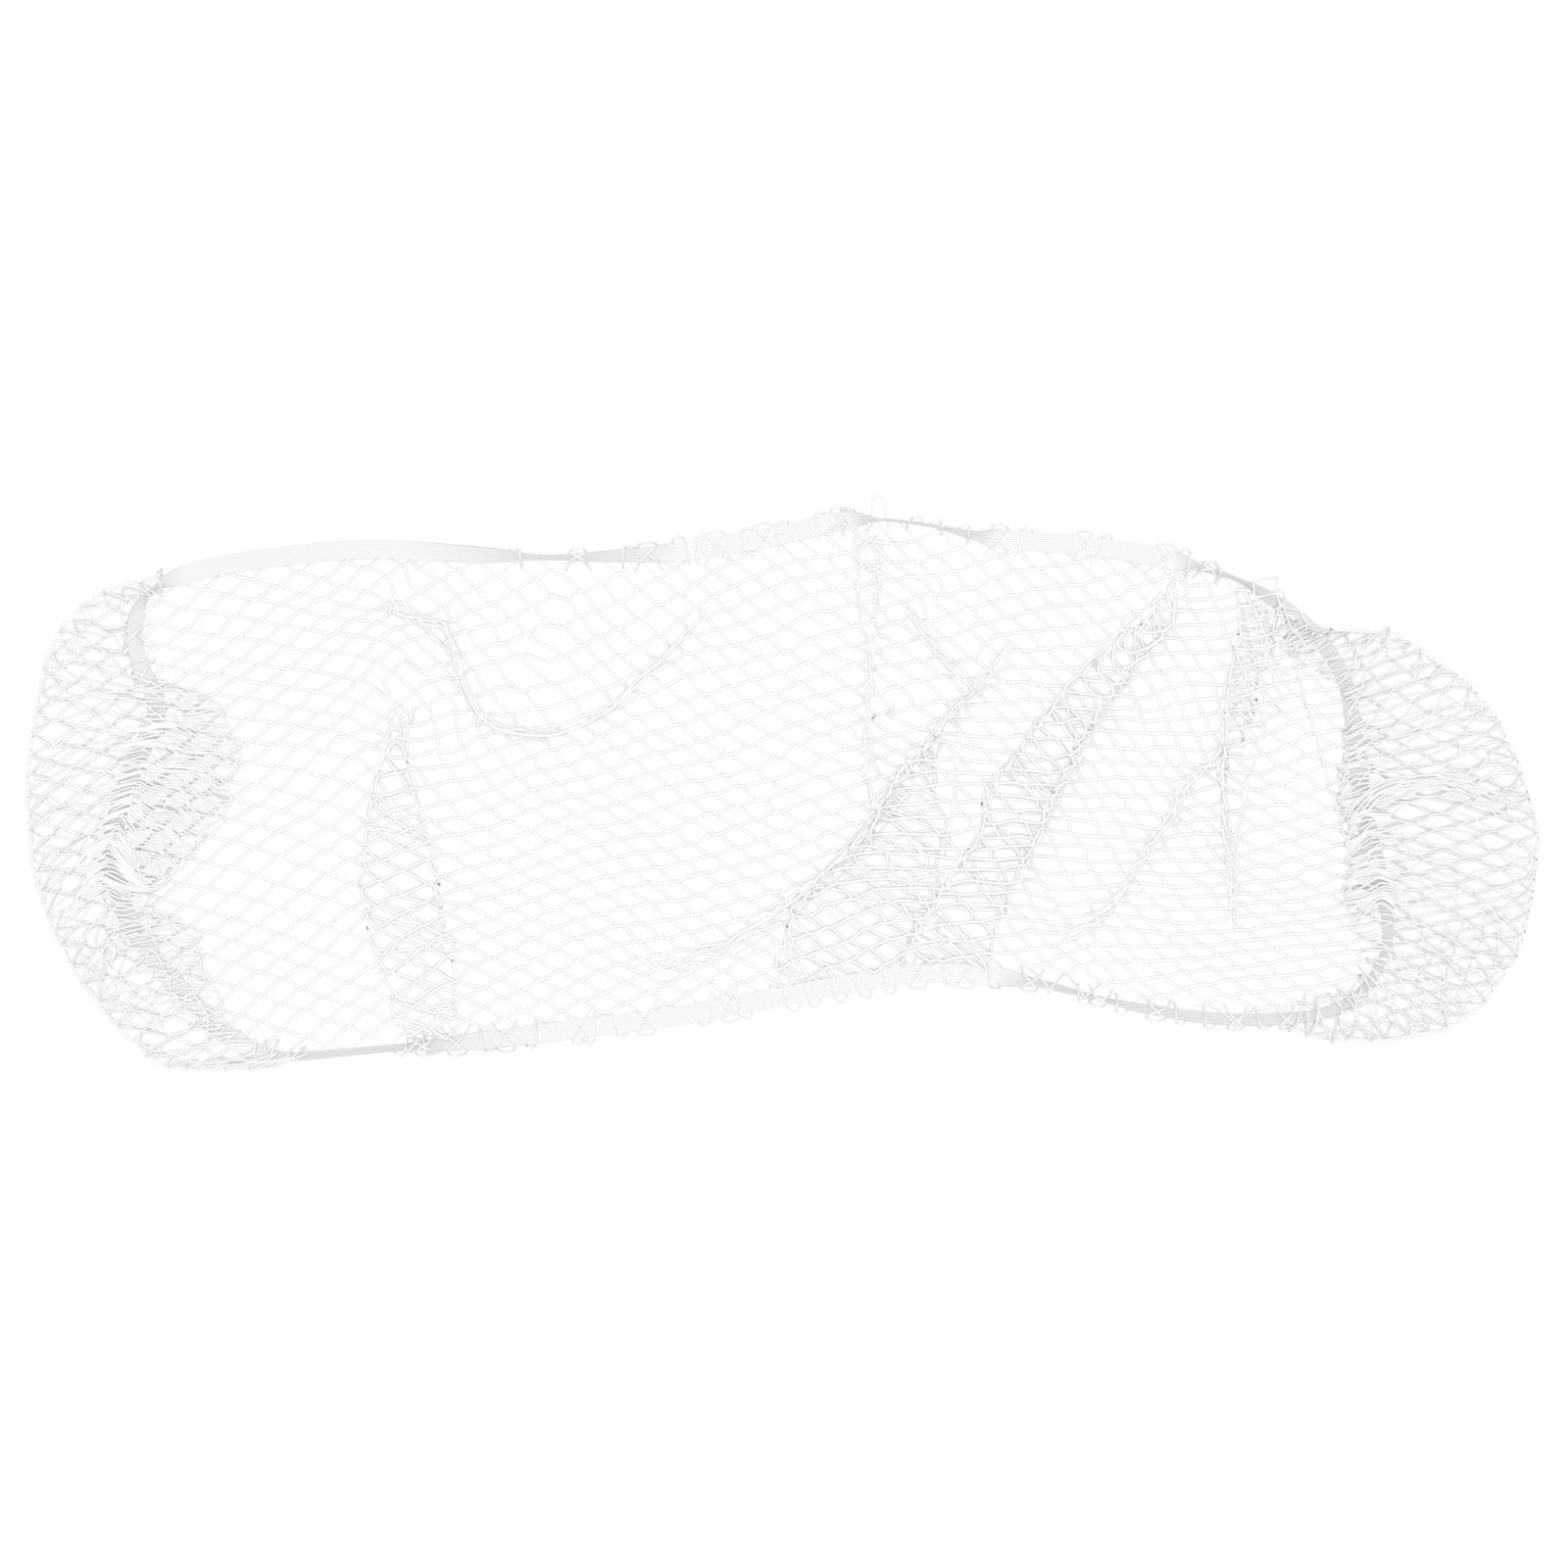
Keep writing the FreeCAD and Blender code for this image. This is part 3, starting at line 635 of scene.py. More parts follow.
def turned(apart):
    """Rounded ramp: nothing before the turn, the distance itself after it."""
    return 0.5 * (apart + np.sqrt(apart ** 2 + TURN ** 2))


def stepped(apart):
    """Rounded step: nothing before the turn, one after it."""
    return 0.5 * (1 + apart / np.sqrt(apart ** 2 + (0.7 * TURN) ** 2))


def folded(columns, rows):
    """Visible column and row of each mesh place once the folds are laid, its lift, and
    whether it is in a layer in between."""
    visible = columns.copy()
    lift = np.zeros(len(columns))
    slide = np.zeros(len(columns))
    between = np.zeros(len(columns), dtype=bool)
    for (edge, width), slant in zip(FOLD_LINES, SLANTS):
        a, w = edge(rows), width(rows) / BETWEEN
        past = visible - a
        fade = np.exp(-np.maximum(past - w, 0) / 0.2)
        wide = np.clip(w / 0.2, 0, 1)
        laid = past - (1 + BETWEEN) * (turned(past) - turned(past - w))
        share = np.clip(past / (w + 1e-6), 0, 1)
        laid -= 0.5 * BETWEEN * w * (3 * share ** 2 - 2 * share ** 3 - share)
        turn = share - 0.5
        turn *= np.exp(-np.maximum(-past, 0) / 0.1) * fade
        moved = slant * wide * turn
        slide += moved
        wider = width(rows + moved) - width(rows)
        laid -= wider * share * fade
        on_top = stepped(past - w)
        settled = 1 - ease(np.clip(laid / 0.7, 0, 1)) * on_top
        lift += FOLD_LIFT * (stepped(past) + on_top) * settled * wide
        visible = edge(rows + moved) + laid
        between |= (share > 0.12) & (share < 0.88) & (wide > 0.6)
    return visible, rows + slide, lift, between


# Random waves: how they run over the mesh, and where they start
WAVES = rng.normal(0, 1, (7, 4))
WAVE_PHASE = rng.uniform(0, 2 * math.pi, (7, 2))


def ripple(a, b, strength, pitch):
    """Slow random wander of the netting."""
    sway = np.zeros((len(a), 2))
    for wave, phase in zip(WAVES, WAVE_PHASE):
        sway[:, 0] += np.sin((wave[0] * a + wave[1] * b) * pitch + phase[0])
        sway[:, 1] += np.sin((wave[2] * a + wave[3] * b) * pitch + phase[1])
    return sway * strength / 2.6


def middle_surface(columns, rows):
    """Place in the view and height of mesh places of the flat netting."""
    visible, shown, lift, _ = folded(columns, rows)
    places = TO_VIEW(np.stack([visible, shown], 1))
    places += ripple(columns, rows, 2.2, 1.3)
    places, rise = ridged(places)
    rest = 1.4 + 1.2 * (0.5 + 0.5 * np.sin(places[:, 0] / 47 + np.cos(places[:, 1] / 61)))
    return places, rest + lift + rise


# --- twine of a diamond mesh
# Half the length of a joint in half meshes, and points on the bar to the next one
JOINT = 0.045
BAR_STEPS = np.array([0.0, 0.25, 0.5, 0.75])
# Random wander of the joints
WANDERS = 400
JITTER = rng.normal(0, 1, (WANDERS, WANDERS, 2))
# Where strands are thinned, one in this many is laid
THINNED = 4
# Strands one way lie higher than those the other way, by twice this
LAYER_OFFSET = 0.45


def mesh_strands(knots, surface, jitter, thinned=None):
    """Twine lines of a mesh. knots is a set of (a, b), two to a mesh each way. thinned
    says where strands are left out."""
    lines = []
    for turn in (1, -1):
        made = []
        for a0, b0 in sorted(k for k in knots if (k[0] - 1, k[1] - turn) not in knots):
            m = 0
            while (a0 + m + 1, b0 + turn * (m + 1)) in knots:
                m += 1
            if m == 0:
                continue
            n = np.arange(m + 1)[:, None]
            a = np.hstack([a0 + n - JOINT, a0 + n + JOINT + (1 - 2 * JOINT) * BAR_STEPS])
            b = np.hstack([b0 + turn * n,
                           b0 + turn * (n + 0.8 * BAR_STEPS + 0.2 * ease(BAR_STEPS))])
            knot = np.append(np.repeat(np.arange(m), len(BAR_STEPS) + 1), [m - 1] * 2)
            t = np.append(np.tile(np.append(0, BAR_STEPS), m), [1, 1])
            first, second = (JITTER[(a0 + knot + k) % WANDERS, (b0 + turn * (knot + k)) % WANDERS]
                             for k in (0, 1))
            bow = np.sin(np.pi * t) * JITTER[(a0 + knot * 7) % WANDERS, (b0 + 31) % WANDERS, 0]
            wander = first + (second - first) * t[:, None]
            made.append((a.ravel()[:len(t)], b.ravel()[:len(t)],
                         np.column_stack([wander, bow])))
        if not made:
            continue
        cuts = np.cumsum([len(a) for a, _, _ in made])[:-1]
        a, b, extra = (np.concatenate(part) for part in zip(*made))
        places, height = surface(a / 2, b / 2)
        places = places + extra[:, :2] * (
            jitter * (1 + 0.3 * np.clip(height - 3.5, 0, 5)))[:, None]
        places[:, 1] += extra[:, 2] * jitter * 0.9 + turn * 0.35
        world = to_world(places, np.maximum(height + turn * LAYER_OFFSET, ON_FLOOR))
        left_out = np.zeros(len(a), dtype=bool) if thinned is None else thinned(a / 2, b / 2)
        strands = zip(np.split(world, cuts), np.split(left_out, cuts))
        for number, (line, gone) in enumerate(strands):
            if number % THINNED == 0 or not gone.any():
                lines.append(line)
                continue
            ends = np.flatnonzero(np.diff(gone.astype(int))) + 1
            lines += [run for run, out in zip(np.split(line, ends), np.split(gone, ends))
                      if not out[0] and len(run) > 2]
    return lines


def bunch_lines(height, offsets, path):
    """Parallel strands drawn together along one raised crease."""
    path = smooth_line(np.array(path, dtype=float), 5)
    along = np.gradient(path, axis=0)
    side = unit(quarter_turn(along))
    share = np.linspace(0, 1, len(path))
    travelled = np.cumsum(lengths(along))
    rise = np.sin(math.pi * np.clip(share, 0.04, 0.96)) ** 0.4
    lines = []
    n = len(path)
    for offset in offsets:
        first, last = int(rng.uniform(0, 0.16) * n), n - int(rng.uniform(0, 0.16) * n)
        phase = rng.uniform(0, 2 * math.pi)
        spread = offset * (0.85 + 0.35 * (2 * share - 1) ** 4)
        spread += 1.3 * np.sin(travelled / rng.uniform(9, 13) + phase)
        crest = height * rise - abs(offset) * 0.3 + 0.6 * np.cos(travelled / 11 + phase)
        line = to_world(path + side * spread[:, None], np.maximum(crest, 1.2))
        lines.append(line[first:last])
    return lines


def inside(places, outline):
    """Whether places lie within a closed outline."""
    x, y = places[:, 0], places[:, 1]
    found = np.zeros(len(places), dtype=bool)
    for (x0, y0), (x1, y1) in zip(outline, np.roll(outline, -1, 0)):
        crosses = (y0 > y) != (y1 > y)
        with np.errstate(divide="ignore", invalid="ignore"):
            at = x0 + (y - y0) * (x1 - x0) / (y1 - y0)
        found ^= crosses & (x < at)
    return found


def strand(view, height, cuts):
    """Smooth line of twine through places of the view and heights."""
    return smooth_line(to_world(view, height), cuts)


def knots_within(outline, surface, columns, rows):
    """Knots of a surface that lie within an outline, as a set for mesh_strands."""
    a, b = np.meshgrid(np.arange(*columns), np.arange(*rows), indexing="ij")
    even = (a + b) % 2 == 0
    a, b = a[even], b[even]
    within = inside(surface(a / 2, b / 2)[0], outline)
    return {(int(i), int(j)) for i, j in zip(a[within], b[within])}


# Pockets and gathers at both ends: place on the rim, on the elastic, and on the inner
# edge of the gather
LEFT_END = (
    (165, 590, 163, 600, 172, 604), (130, 597, 147, 606, 151, 608),
    (105, 608, 138, 628, 141, 628), (85, 620, 133, 650, 136, 650), (68, 640, 133, 672, 137, 671),
    (58, 657, 140, 690, 150, 688), (50, 675, 150, 704, 196, 702), (44, 705, 157, 719, 224, 722),
    (39, 735, 158, 734, 240, 748), (35, 762, 156, 749, 244, 772), (31, 790, 152, 769, 241, 797),
    (31, 812, 148, 784, 236, 815), (33, 850, 138, 810, 220, 846), (38, 890, 124, 842, 194, 880),
    (44, 912, 113, 870, 168, 902), (50, 930, 106, 896, 154, 909), (60, 955, 110, 920, 154, 924),
    (75, 985, 124, 948, 192, 938), (95, 1012, 145, 977, 208, 968),
    (112, 1035, 168, 1005, 216, 1006), (130, 1055, 196, 1033, 232, 1044),
    (150, 1073, 222, 1052, 243, 1054), (170, 1087, 240, 1064, 252, 1056),
    (200, 1091, 262, 1074, 270, 1064), (230, 1091, 285, 1077, 290, 1068),
    (290, 1086, 316, 1076, 318, 1070),
)
RIGHT_END = (
    (1300, 622, 1300, 628, 1292, 640), (1340, 646, 1330, 654, 1308, 668),
    (1375, 645, 1350, 672, 1332, 684), (1420, 648, 1368, 688, 1360, 694),
    (1450, 667, 1375, 710, 1367, 715), (1472, 682, 1379, 728, 1370, 734),
    (1495, 697, 1382, 746, 1370, 754), (1522, 730, 1384, 768, 1368, 778),
    (1545, 775, 1386, 797, 1366, 807), (1562, 830, 1388, 826, 1370, 838),
    (1566, 850, 1391, 842, 1374, 856), (1565, 880, 1396, 860, 1376, 878),
    (1562, 900, 1400, 876, 1376, 896), (1552, 955, 1406, 905, 1372, 917),
    (1538, 985, 1409, 932, 1376, 940), (1510, 1025, 1411, 962, 1396, 966),
    (1470, 1050, 1406, 985, 1394, 980), (1415, 1060, 1393, 1006, 1384, 996),
    (1380, 1060, 1374, 1022, 1368, 1010), (1350, 1058, 1350, 1032, 1346, 1020),
    (1310, 1045, 1312, 1036, 1310, 1024),
)

# Outline of the flat netting under each end
LEFT_RIM = np.array([
    *(row[:2] for row in LEFT_END[:4]), (62, 652), (50, 675), (42, 725), (33, 775), (30, 812),
    *(row[:2] for row in LEFT_END[12:25]), (300, 1085), (370, 1078),
], dtype=float)
RIGHT_RIM = np.array([(1340, 652), *(row[:2] for row in RIGHT_END[2:])], dtype=float)

# A mesh of the ends along and across, and how round the netting turns, on the view
MESH_LONG = 50.0
MESH_WIDE = 20.5
TURN_RADIUS = 6.0

# Where each end is gathered: first and last view y on the elastic, step and reach outward
LEFT_PLEATS = ((700, 738, 5.0, 16), (738, 912, 3.1, 20), (912, 1048, 6.4, 8))
RIGHT_PLEATS = ((640, 690, 6.0, 7), (690, 800, 4.4, 20), (800, 925, 2.9, 25))

# Creases of the right pocket, as in CREASES
RIGHT_CREASES = (
    (36, (-9, -6, -3.5, -1.2, 1.2, 3.5, 6.5, 10), ((1378, 842), (1386, 822), (1402, 808),
     (1430, 800), (1462, 797), (1490, 805), (1520, 817), (1548, 826))),
)

# Netting turned across the rest inside the pockets: outline, mesh along and across, height
LEFT_PATCHES = (
    (((64, 940), (112, 930), (128, 965), (150, 1010), (172, 1052), (140, 1058), (98, 1008)),
     (9, 40), (19, -2), 6.0),
    (((146, 928), (198, 938), (213, 975), (216, 1010), (234, 1046), (206, 1058), (172, 1024),
      (156, 985)), (26, 20), (-14, 20), 12.0),
)
RIGHT_PATCHES = (
    (((1272, 588), (1306, 590), (1326, 612), (1345, 650), (1330, 672), (1296, 652),
      (1272, 618)), (26, 16), (-14, 20), 21.0),
    (((1440, 925), (1554, 925), (1548, 958), (1530, 996), (1504, 1024), (1440, 1036)),
     (8, 42), (24, -6), 7.0),
)

# Netting of the middle that lies double beside the right wedge
MIDDLE_PATCHES = (
    (((1260, 606), (1290, 624), (1318, 668), (1322, 700), (1304, 752), (1286, 780), (1262, 762),
      (1258, 690)), (24, 22), (-10, 14), 7.0),
)

# Heights of each end, from under the rim over the elastic (1) and the gather (2) to below
HEIGHT_SHARES = (-0.4, -0.1, 0, 0.12, 0.35, 0.65, 1, 1.7, 2, 2.3, 3)
LEFT_HEIGHTS = (1.4, 2.5, 6, 10, 15, 20, 15, 11, 7, 5, 5)
RIGHT_HEIGHTS = (1.4, 3, 7, 14, 24, 32, 18, 12, 7.5, 5, 5)
PLEAT_HEIGHT = 2.0
PLEAT_POINTS = 14
# A gather is deep where it reaches further in than this, on the view
DEEP = 24
# How far the twine wanders at the ends and across the middle, on the view
END_JITTER = 1.2
MIDDLE_JITTER = 0.75


def end_stops(table, places):
    """Rim, elastic and inner edge of an end at its rows."""
    at = np.stack([np.interp(places, table[:, 0], column) for column in table.T[1:]], 1)
    return at[:, :2], at[:, 2:4], at[:, 4:]


def rounded(travelled):
    """Distance from a turn's edge, with the turn rounded off."""
    return np.sqrt(travelled ** 2 + TURN_RADIUS ** 2) - TURN_RADIUS


def end_surface(stops, heights):
    """Surface of an end: under the rim, over the pocket and the elastic, and back under."""
    stops = np.array(stops, dtype=float)
    table = np.column_stack([run_length(stops[:, :2]) / MESH_WIDE, stops])

    def surface(columns, places):
        rim, band, lobe = end_stops(table, places)
        over, past = lengths(band - rim), lengths(lobe - band)
        whole = over + past
        travelled = columns * MESH_LONG
        out = np.where(travelled < whole / 2, rounded(travelled),
                       whole - rounded(travelled - whole))
        on_pocket = np.clip(out / over, 0, 1)[:, None]
        on_lobe = np.clip((out - over) / (past + 1e-6), 0, 1)[:, None]
        place = rim + (band - rim) * on_pocket + (lobe - band) * on_lobe
        share = np.where(travelled < over, travelled / over,
                         1 + (travelled - over) / (past + 1e-6))
        near = np.exp(-((travelled - over) / 60) ** 2)
        row_wave = np.sin(places * 2.1 + 1.4 * np.sin(places * 0.83))
        height = np.interp(share, HEIGHT_SHARES, heights) + PLEAT_HEIGHT * row_wave * near
        drift = ripple(columns * 1.3, places * 0.9, 3.0, 1.9)
        drift[:, 1] += 2.2 * np.sin(places * 3.1 + 2 * np.sin(places) + columns * 1.3) * near
        return place + drift * np.clip(np.abs(out) / 25, 0.15, 1)[:, None], height
    return surface, table


def end_at(table, place):
    """How far the elastic lies from the rim, and the inner edge from it, at one row."""
    rim, band, lobe = (stop[0] for stop in end_stops(table, np.array([place])))
    return np.linalg.norm(band - rim), np.linalg.norm(lobe - band)


def end_knots(table):
    found = set()
    for b in range(math.ceil(table[0, 0] * 2), math.floor(table[-1, 0] * 2) + 1):
        over, past = end_at(table, b / 2)
        length = over + past * 1.1
        for a in range(-1, 40):
            if (a + b) % 2 == 0 and a / 2 * MESH_LONG <= length + 8:
                found.add((a, b))
    return found


def edge_strand(surface, places, columns, wander, scallop=0.0):
    """Twine that runs along a turned edge of an end, from mesh to mesh."""
    place, height = surface(columns, places)
    place = place + rng.normal(0, wander, place.shape) + scallop
    return strand(place, height, 2)


def pleat_lines(surface, table, top, bottom, step, outward):
    """Strands lying side by side over the elastic, where the netting is drawn into pleats."""
    lines = []
    band_y = top
    order = np.argsort(table[:, 4])
    turn = rng.uniform(0, 6.3)
    ends = np.sin(np.linspace(0.1, math.pi - 0.1, PLEAT_POINTS))
    while band_y < bottom:
        place = float(np.interp(band_y, table[order, 4], table[order, 0]))
        over, past = end_at(table, place)
        from_out = over - outward * rng.uniform(0.6, 1.6)
        to_in = over + (past * rng.uniform(0.7, 1) if past > DEEP else past + rng.uniform(0, 6))
        columns = np.linspace(from_out, to_in, PLEAT_POINTS) / MESH_LONG
        turn += rng.normal(0, 0.35)
        sway = np.sin(columns * 5.5 + turn) * 0.16 + rng.normal(0, 0.03)
        view, height = surface(columns, place + sway)
        height = height + (rng.uniform(1.0, 3.0) + 1.2 * sway) * ends
        lines.append(strand(view, height, 2))
        band_y += step * rng.uniform(0.85, 1.15)
    return lines


def patch_lines(outline, along, across, height):
    """Mesh turned another way within an outline."""
    outline = np.array(outline, dtype=float)
    middle = outline.mean(0)
    along, across = np.array(along, dtype=float), np.array(across, dtype=float)

    def surface(columns, places):
        view = middle + columns[:, None] * along + places[:, None] * across
        view = view + ripple(columns * 1.5, places * 1.5, 3.0, 1.7)
        return view, np.full(len(view), height) + ripple(columns, places, 1.5, 2.0)[:, 0]

    knots = knots_within(outline, surface, (-16, 17), (-16, 17))
    return mesh_strands(knots, surface, END_JITTER)


def make_end(name, stops, heights, gathered, patches, bunches=()):
    surface, table = end_surface(stops, heights)
    lines = mesh_strands(end_knots(table), surface, END_JITTER)
    places = np.arange(table[0, 0], table[-1, 0], 0.25)
    rim, band, lobe = end_stops(table, places)
    over, past = lengths(rim - band), lengths(lobe - band)
    outward = (rim - band) / over[:, None]
    for phase, bulge in ((0.0, 2.6), (0.5, 1.8)):
        scallop = outward * (bulge * np.abs(np.sin(math.pi * (places + phase))))[:, None]
        lines.append(edge_strand(surface, places, np.zeros(len(places)), 0.25, scallop))
    for gather in gathered:
        lines += pleat_lines(surface, table, *gather)
    for patch in patches:
        lines += patch_lines(*patch)
    for bunch in bunches:
        lines += bunch_lines(*bunch)
    deep = past > DEEP
    if deep.sum() > 3:
        lines.append(edge_strand(surface, places[deep],
                                 (over + past)[deep] / MESH_LONG - 0.04, 0.8))
    return net_piece(name, lines)


# Runs of the route, in points: between the pockets, and beside each pocket
TOP_RUN, BOTTOM_RUN = (0, 20), (32, 46)
RIGHT_RUN, LEFT_RUN = (20.5, 31.5), (46.5, 58.5)
# How far inside the elastic the mesh ends, and the share of border meshes that go over it
INSET = 9
OVER_SHARE = 0.05


def band_between(first, last, inset):
    """Elastic places between two route points, moved inward by view units."""
    a, b = first * STATIONS_PER_SPAN, last * STATIONS_PER_SPAN
    return BAND_VIEW[a:b] - BAND_OUT[a:b] * inset


def middle_outline():
    """Outline of the flat netting: between the runs of elastic and under both pockets."""
    return np.vstack([band_between(*TOP_RUN, INSET), RIGHT_RIM[1:-1],
                      band_between(*BOTTOM_RUN, INSET), LEFT_RIM[::-1][1:-1]])


def on_band(places):
    """Nearest elastic station of each place and how far outside its middle it lies."""
    apart = ((places[:, None] - BAND_VIEW[None]) ** 2).sum(-1)
    station = apart.argmin(1)
    outside = ((places - BAND_VIEW[station]) * BAND_OUT[station]).sum(1)
    return station, outside


def band_half(station):
    """Half the width of the elastic as seen from above, and its top."""
    cosine, sine = abs(math.cos(BAND_TWIST[station])), abs(math.sin(BAND_TWIST[station]))
    width = BAND_WIDTH * cosine + BAND_THICKNESS * sine
    top = BAND_WIDTH * sine + BAND_THICKNESS * cosine
    return width / 2 * UNITS_PER_MM, BAND_SEAT + top


# Places on the view where border meshes cross over the elastic in an X, as (x, y), and
# where they stand out past it in a loop, as (x, y, width)
CROSSES = (
    (590, 571), (660, 568), (730, 558), (780, 548), (860, 532), (1020, 553), (1103, 556),
    (1187, 568), (1232, 580), (465, 1055), (515, 1057), (590, 1047), (660, 1035), (740, 1028),
    (935, 994), (985, 992), (1050, 1003), (1120, 1022), (1180, 1035), (1260, 1038), (1310, 1040),
    (432, 1062), (150, 690), (135, 650), (112, 915), (130, 955), (1380, 1012),
)
LOOPS = (
    (640, 560, 11), (690, 548, 12), (718, 546, 10), (765, 543, 12), (800, 537, 12), (838, 529, 9),
    (865, 520, 11), (936, 522, 11), (956, 525, 10), (985, 535, 9), (1045, 545, 12),
    (1128, 552, 10), (1210, 560, 10), (1240, 565, 12), (1310, 597, 12), (528, 562, 10),
    (500, 1070, 12), (545, 1068, 10), (600, 1066, 12), (632, 1055, 10), (720, 1045, 12),
    (762, 1040, 10), (812, 1037, 13), (836, 1034, 11), (858, 1031, 12), (884, 1027, 12),
    (912, 1018, 10), (968, 1006, 12), (1012, 1009, 10), (1100, 1030, 12), (1142, 1040, 12),
    (1205, 1046, 10), (1236, 1050, 11), (1288, 1050, 12), (1338, 1048, 10), (408, 1078, 12),
    (446, 1075, 11),
)


def beside_band(station, along, outward):
    """Place at a distance along the elastic from a station and out from its middle."""
    return (BAND_VIEW[station] + quarter_turn(BAND_OUT[station]) * along
            + BAND_OUT[station] * outward)


def nearest_band(x, y):
    """Nearest elastic station, how far outside a place lies, half the width and the top."""
    stations, outside = on_band(np.array([[x, y]], dtype=float))
    station = int(stations[0])
    return station, float(outside[0]), *band_half(station)


def cross_lines(x, y):
    """Two strands that cross over the elastic and join outside it."""
    station, _, half, top = nearest_band(x, y)
    spread = rng.uniform(6.5, 10)
    lines = []
    for side in (-1, 1):
        extra = 1.0 if side > 0 else 0.0
        stops = ((-1.6, -half - 9, 1.8), (-1.15, -half - 2.5, top * 0.55 + 1),
                 (-0.75, -half * 0.8, top + 1), (0, 0, top + 1.1 + extra),
                 (0.7, half * 0.8, top + 1), (1.05, half + 1.6, top * 0.6 + 1),
                 (0.8, half + 4.5, 2.2), (0, half + 5.6 + extra, 1.7))
        lines.append([(beside_band(station, side * spread * s, out), lift)
                      for s, out, lift in stops])
    return lines


def loop_line(x, y, width):
    """A border mesh that stands out past the elastic as a round loop."""
    station, tip, half, top = nearest_band(x, y)
    tip = float(np.clip(tip, half + 3.5, half + 7.5))
    lean = rng.uniform(-2.5, 2.5)
    over = rng.random() < 0.5
    stops = []
    for side in (-1, 1):
        up_over = over if side < 0 else not over
        arm = [(side * 0.75 * width, -half - 6, 1.6)] if up_over else []
        level = top + 1.1 if up_over else ON_FLOOR
        arm += [(side * 0.66 * width, -half * 0.4, level), (side * 0.56 * width, half, level),
                (side * 0.44 * width + lean * 0.6, (half + tip) / 2 + 0.3, 2.6),
                (side * 0.23 * width + lean, tip - 0.8, 3.2)]
        stops += arm if side < 0 else arm[::-1]
    stops.insert(len(stops) // 2, (lean, tip, 3.4))
    return [(beside_band(station, along, out), lift) for along, out, lift in stops]


def knots_shown(knots):
    """Place on the view and height of knots of the flat netting."""
    columns, rows = (np.array(axis) / 2 for axis in zip(*knots))
    return middle_surface(columns, rows)


def border_lines(knots):
    """Border meshes: they wind over and under the elastic and stand out past it."""
    reach = {}
    for a, b in sorted(knots):
        for da, db in ((1, 1), (1, -1), (-1, 1), (-1, -1)):
            if (a + da, b + db) not in knots:
                reach.setdefault((a + da, b + db), []).append((a, b))
    outer = sorted(reach)
    places, _ = knots_shown(outer)
    stations, _ = on_band(places)
    lines = []
    for knot, place, station in zip(outer, places, stations):
        inner, heights = knots_shown(sorted(reach[knot], key=lambda k: k[0]))
        run = station / STATIONS_PER_SPAN
        at_right = RIGHT_RUN[0] < run < RIGHT_RUN[1]
        if at_right or LEFT_RUN[0] < run < LEFT_RUN[1]:
            foot, _, _ = nearest_on(place[None], RIGHT_RIM if at_right else LEFT_RIM)
            stops = [(inner[0], heights[0]), (foot[0], 2.0)]
            if len(inner) > 1:
                stops.append((inner[-1], heights[-1]))
            lines.append(stops)
            continue
        half, top = band_half(station)
        over = rng.random() < OVER_SHARE
        forward = quarter_turn(BAND_OUT[station])
        slide = np.clip(float((place - BAND_VIEW[station]) @ forward), -14, 14)
        outward = half + rng.uniform(0.5, 2.5) if over else -half * rng.uniform(0.1, 0.8)
        hub = beside_band(station, slide, outward)
        middle = beside_band(station, slide, -half * 0.2)
        for start, height in zip(inner, heights):
            between = (start + hub) / 2
            if over:
                lines.append([(start, height), (between * 0.5 + middle * 0.5, top + 1.1),
                              (hub, top * 0.7 + 1.2), (hub - forward * 2, ON_FLOOR)])
            else:
                lines.append([(start, height), (between, min(height, 1.6)), (hub, ON_FLOOR)])
    for cross in CROSSES:
        lines += cross_lines(*cross)
    lines += [loop_line(*loop) for loop in LOOPS]
    made = []
    for stops in lines:
        view, height = (np.array(part, dtype=float) for part in zip(*stops))
        made.append(strand(view, np.maximum(height, ON_FLOOR), 5))
    return made


def make_pull_loop():
    """The longer loop that stands out from the far side."""
    view = np.array([(884, 541), (888, 531), (889.5, 519), (891, 510), (896, 506.5),
                     (901, 510), (903, 519), (904, 530), (909, 540)], dtype=float)
    height = np.array([2.2, 5, 3.2, 2.4, 2.2, 2.4, 3.2, 5, 2.2])
    return net_piece("netting_far_loop", [strand(view, height, 5)])


def net_piece(name, lines, widths=None):
    vertices, faces, uvs = twine_mesh(lines, TWINE_RADIUS, widths)
    item = new_object(name, vertices, faces, TWINE, uvs)
    return item


def make_middle():
    """Netting across the middle, cut in two, and its border."""
    knots = knots_within(middle_outline(), middle_surface, (-44, 60), (-56, 60))
    lines = mesh_strands(knots, middle_surface, MIDDLE_JITTER,
                         lambda columns, rows: folded(columns, rows)[3])
    slack = len(lines)
    for crease in CREASES:
        lines += bunch_lines(*crease)
    for patch in MIDDLE_PATCHES:
        lines += patch_lines(*patch)
    widths = [SLACK_WIDTH] * slack + [1.0] * (len(lines) - slack)
    strands = sorted(zip(lines, widths), key=lambda pair: pair[0][:, 0].mean())
    cut = len(strands) // 2
    return (net_piece("netting_west", *zip(*strands[:cut])),
            net_piece("netting_east", *zip(*strands[cut:])),
            net_piece("netting_border", border_lines(knots)))


# --- camera, floor and light
SENSOR = 36
EYE_HEIGHT = 3.2
FLOOR_REACH = 6.0
FLOOR_GREY = 0.98
BACKGROUND_SHARE = 0.94
WORLD_STRENGTH = 0.57
SOFTBOX_SIZE = 1.6
SOFTBOX_ENERGY = 116
SOFTBOX_HEIGHT = 5.0
WHITE = (1, 1, 1, 1)


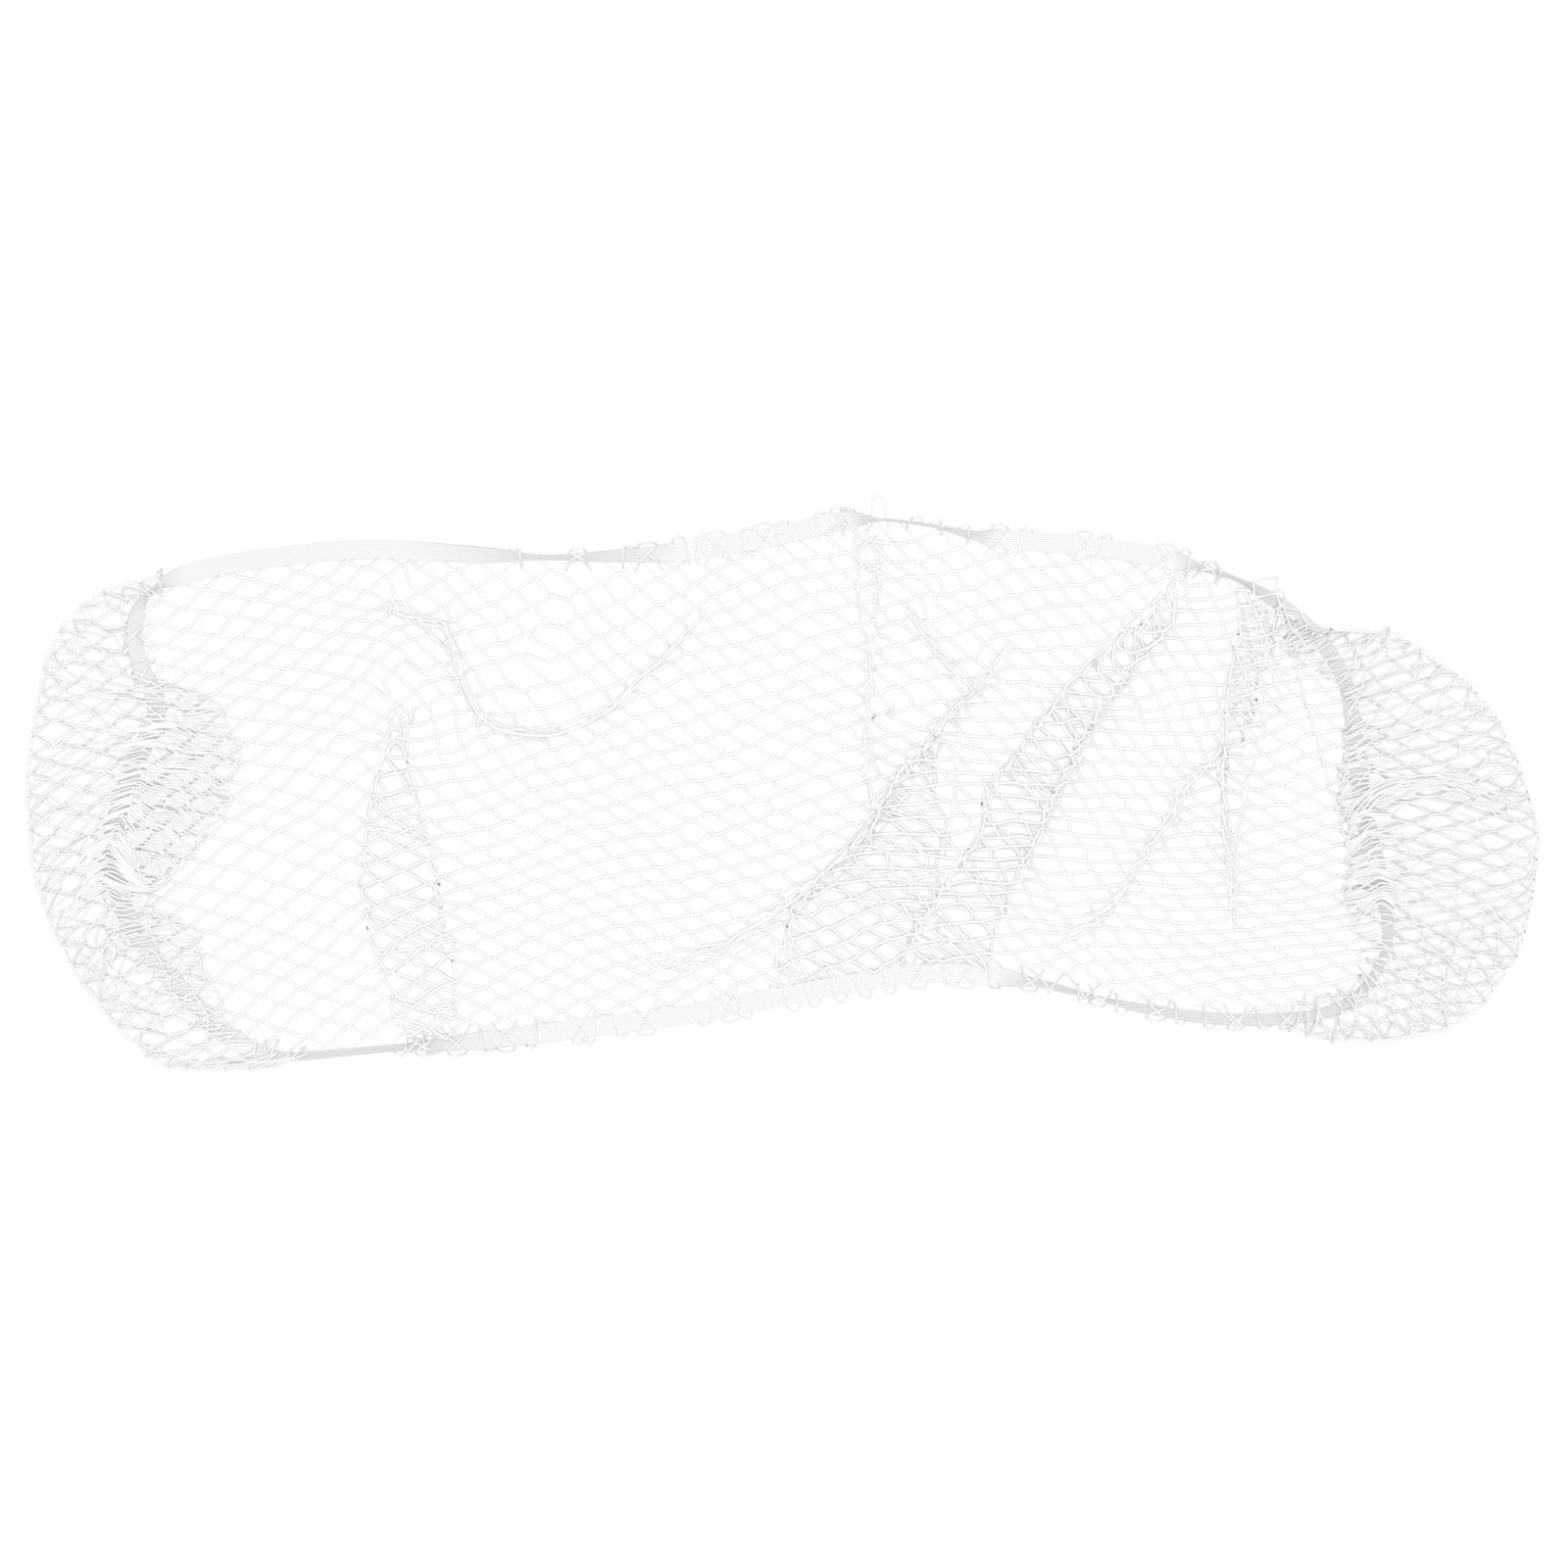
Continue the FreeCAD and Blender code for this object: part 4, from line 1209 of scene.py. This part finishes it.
def make_floor():
    """Floor that takes shadows, and shows as even white to the camera."""
    mesh = bpy.data.meshes.new("floor")
    corners = [(x * FLOOR_REACH, y * FLOOR_REACH, 0)
               for x, y in ((-1, -1), (1, -1), (1, 1), (-1, 1))]
    mesh.from_pydata(corners, [], [(0, 1, 2, 3)])
    floor = link_object("floor", mesh)
    pale = bpy.data.materials.new("pale_floor")
    pale.use_nodes = True
    tree = pale.node_tree
    tree.nodes.clear()
    matt = add_node(tree, "BsdfDiffuse", {"Color": (FLOOR_GREY, FLOOR_GREY, FLOOR_GREY, 1)})
    glow = add_node(tree, "Emission", {"Color": WHITE})
    path = add_node(tree, "LightPath").outputs
    seen = add_math(tree, "MAXIMUM", path["Is Camera Ray"], path["Is Glossy Ray"])
    seen = add_math(tree, "MAXIMUM", seen, path["Is Transmission Ray"])
    mix = add_node(tree, "MixShader", {
        "Fac": add_math(tree, "MULTIPLY", seen, BACKGROUND_SHARE),
        1: matt.outputs["BSDF"], 2: glow.outputs["Emission"]})
    add_node(tree, "OutputMaterial", {"Surface": mix.outputs["Shader"]})
    mesh.materials.append(pale)


def make_stage():
    """Camera straight above, floor, even light all round and a softbox overhead."""
    camera = bpy.data.cameras.new("view")
    camera.sensor_width = SENSOR
    camera.lens = SENSOR * EYE_HEIGHT / (VIEW_SIZE / UNITS_PER_METRE)
    eye = link_object("view", camera)
    eye.location = (0, 0, EYE_HEIGHT)
    bpy.context.scene.camera = eye
    make_floor()
    world = bpy.data.worlds.new("studio")
    world.use_nodes = True
    background = world.node_tree.nodes["Background"]
    connect(world.node_tree, background, {"Color": WHITE, "Strength": WORLD_STRENGTH})
    bpy.context.scene.world = world
    lamp = bpy.data.lights.new("softbox", "AREA")
    lamp.shape = "SQUARE"
    lamp.size = SOFTBOX_SIZE
    lamp.energy = SOFTBOX_ENERGY
    link_object("softbox", lamp).location = (0, 0, SOFTBOX_HEIGHT)
    bpy.context.scene.view_settings.view_transform = "Standard"


make_stage()
make_elastic()
make_splice()
WEST, EAST, BORDER = make_middle()
FAR_LOOP = make_pull_loop()
LEFT_POCKET = make_end("netting_left_pocket", LEFT_END, LEFT_HEIGHTS, LEFT_PLEATS, LEFT_PATCHES)
RIGHT_POCKET = make_end("netting_right_pocket", RIGHT_END, RIGHT_HEIGHTS, RIGHT_PLEATS,
                        RIGHT_PATCHES, RIGHT_CREASES)
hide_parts("netting_base", "fold_left_wedge", "fold_left_swag", "fold_lower_sweep",
            "fold_centre_pleat")
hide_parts("fold_middle_spread", "fold_long_diagonal", "fold_right_ridge",
            "fold_right_wedge")
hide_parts("border_crossings", "border_loops")
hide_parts("pull_loop")
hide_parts("pocket_left", "gather_left")
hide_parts("pocket_right", "gather_right")
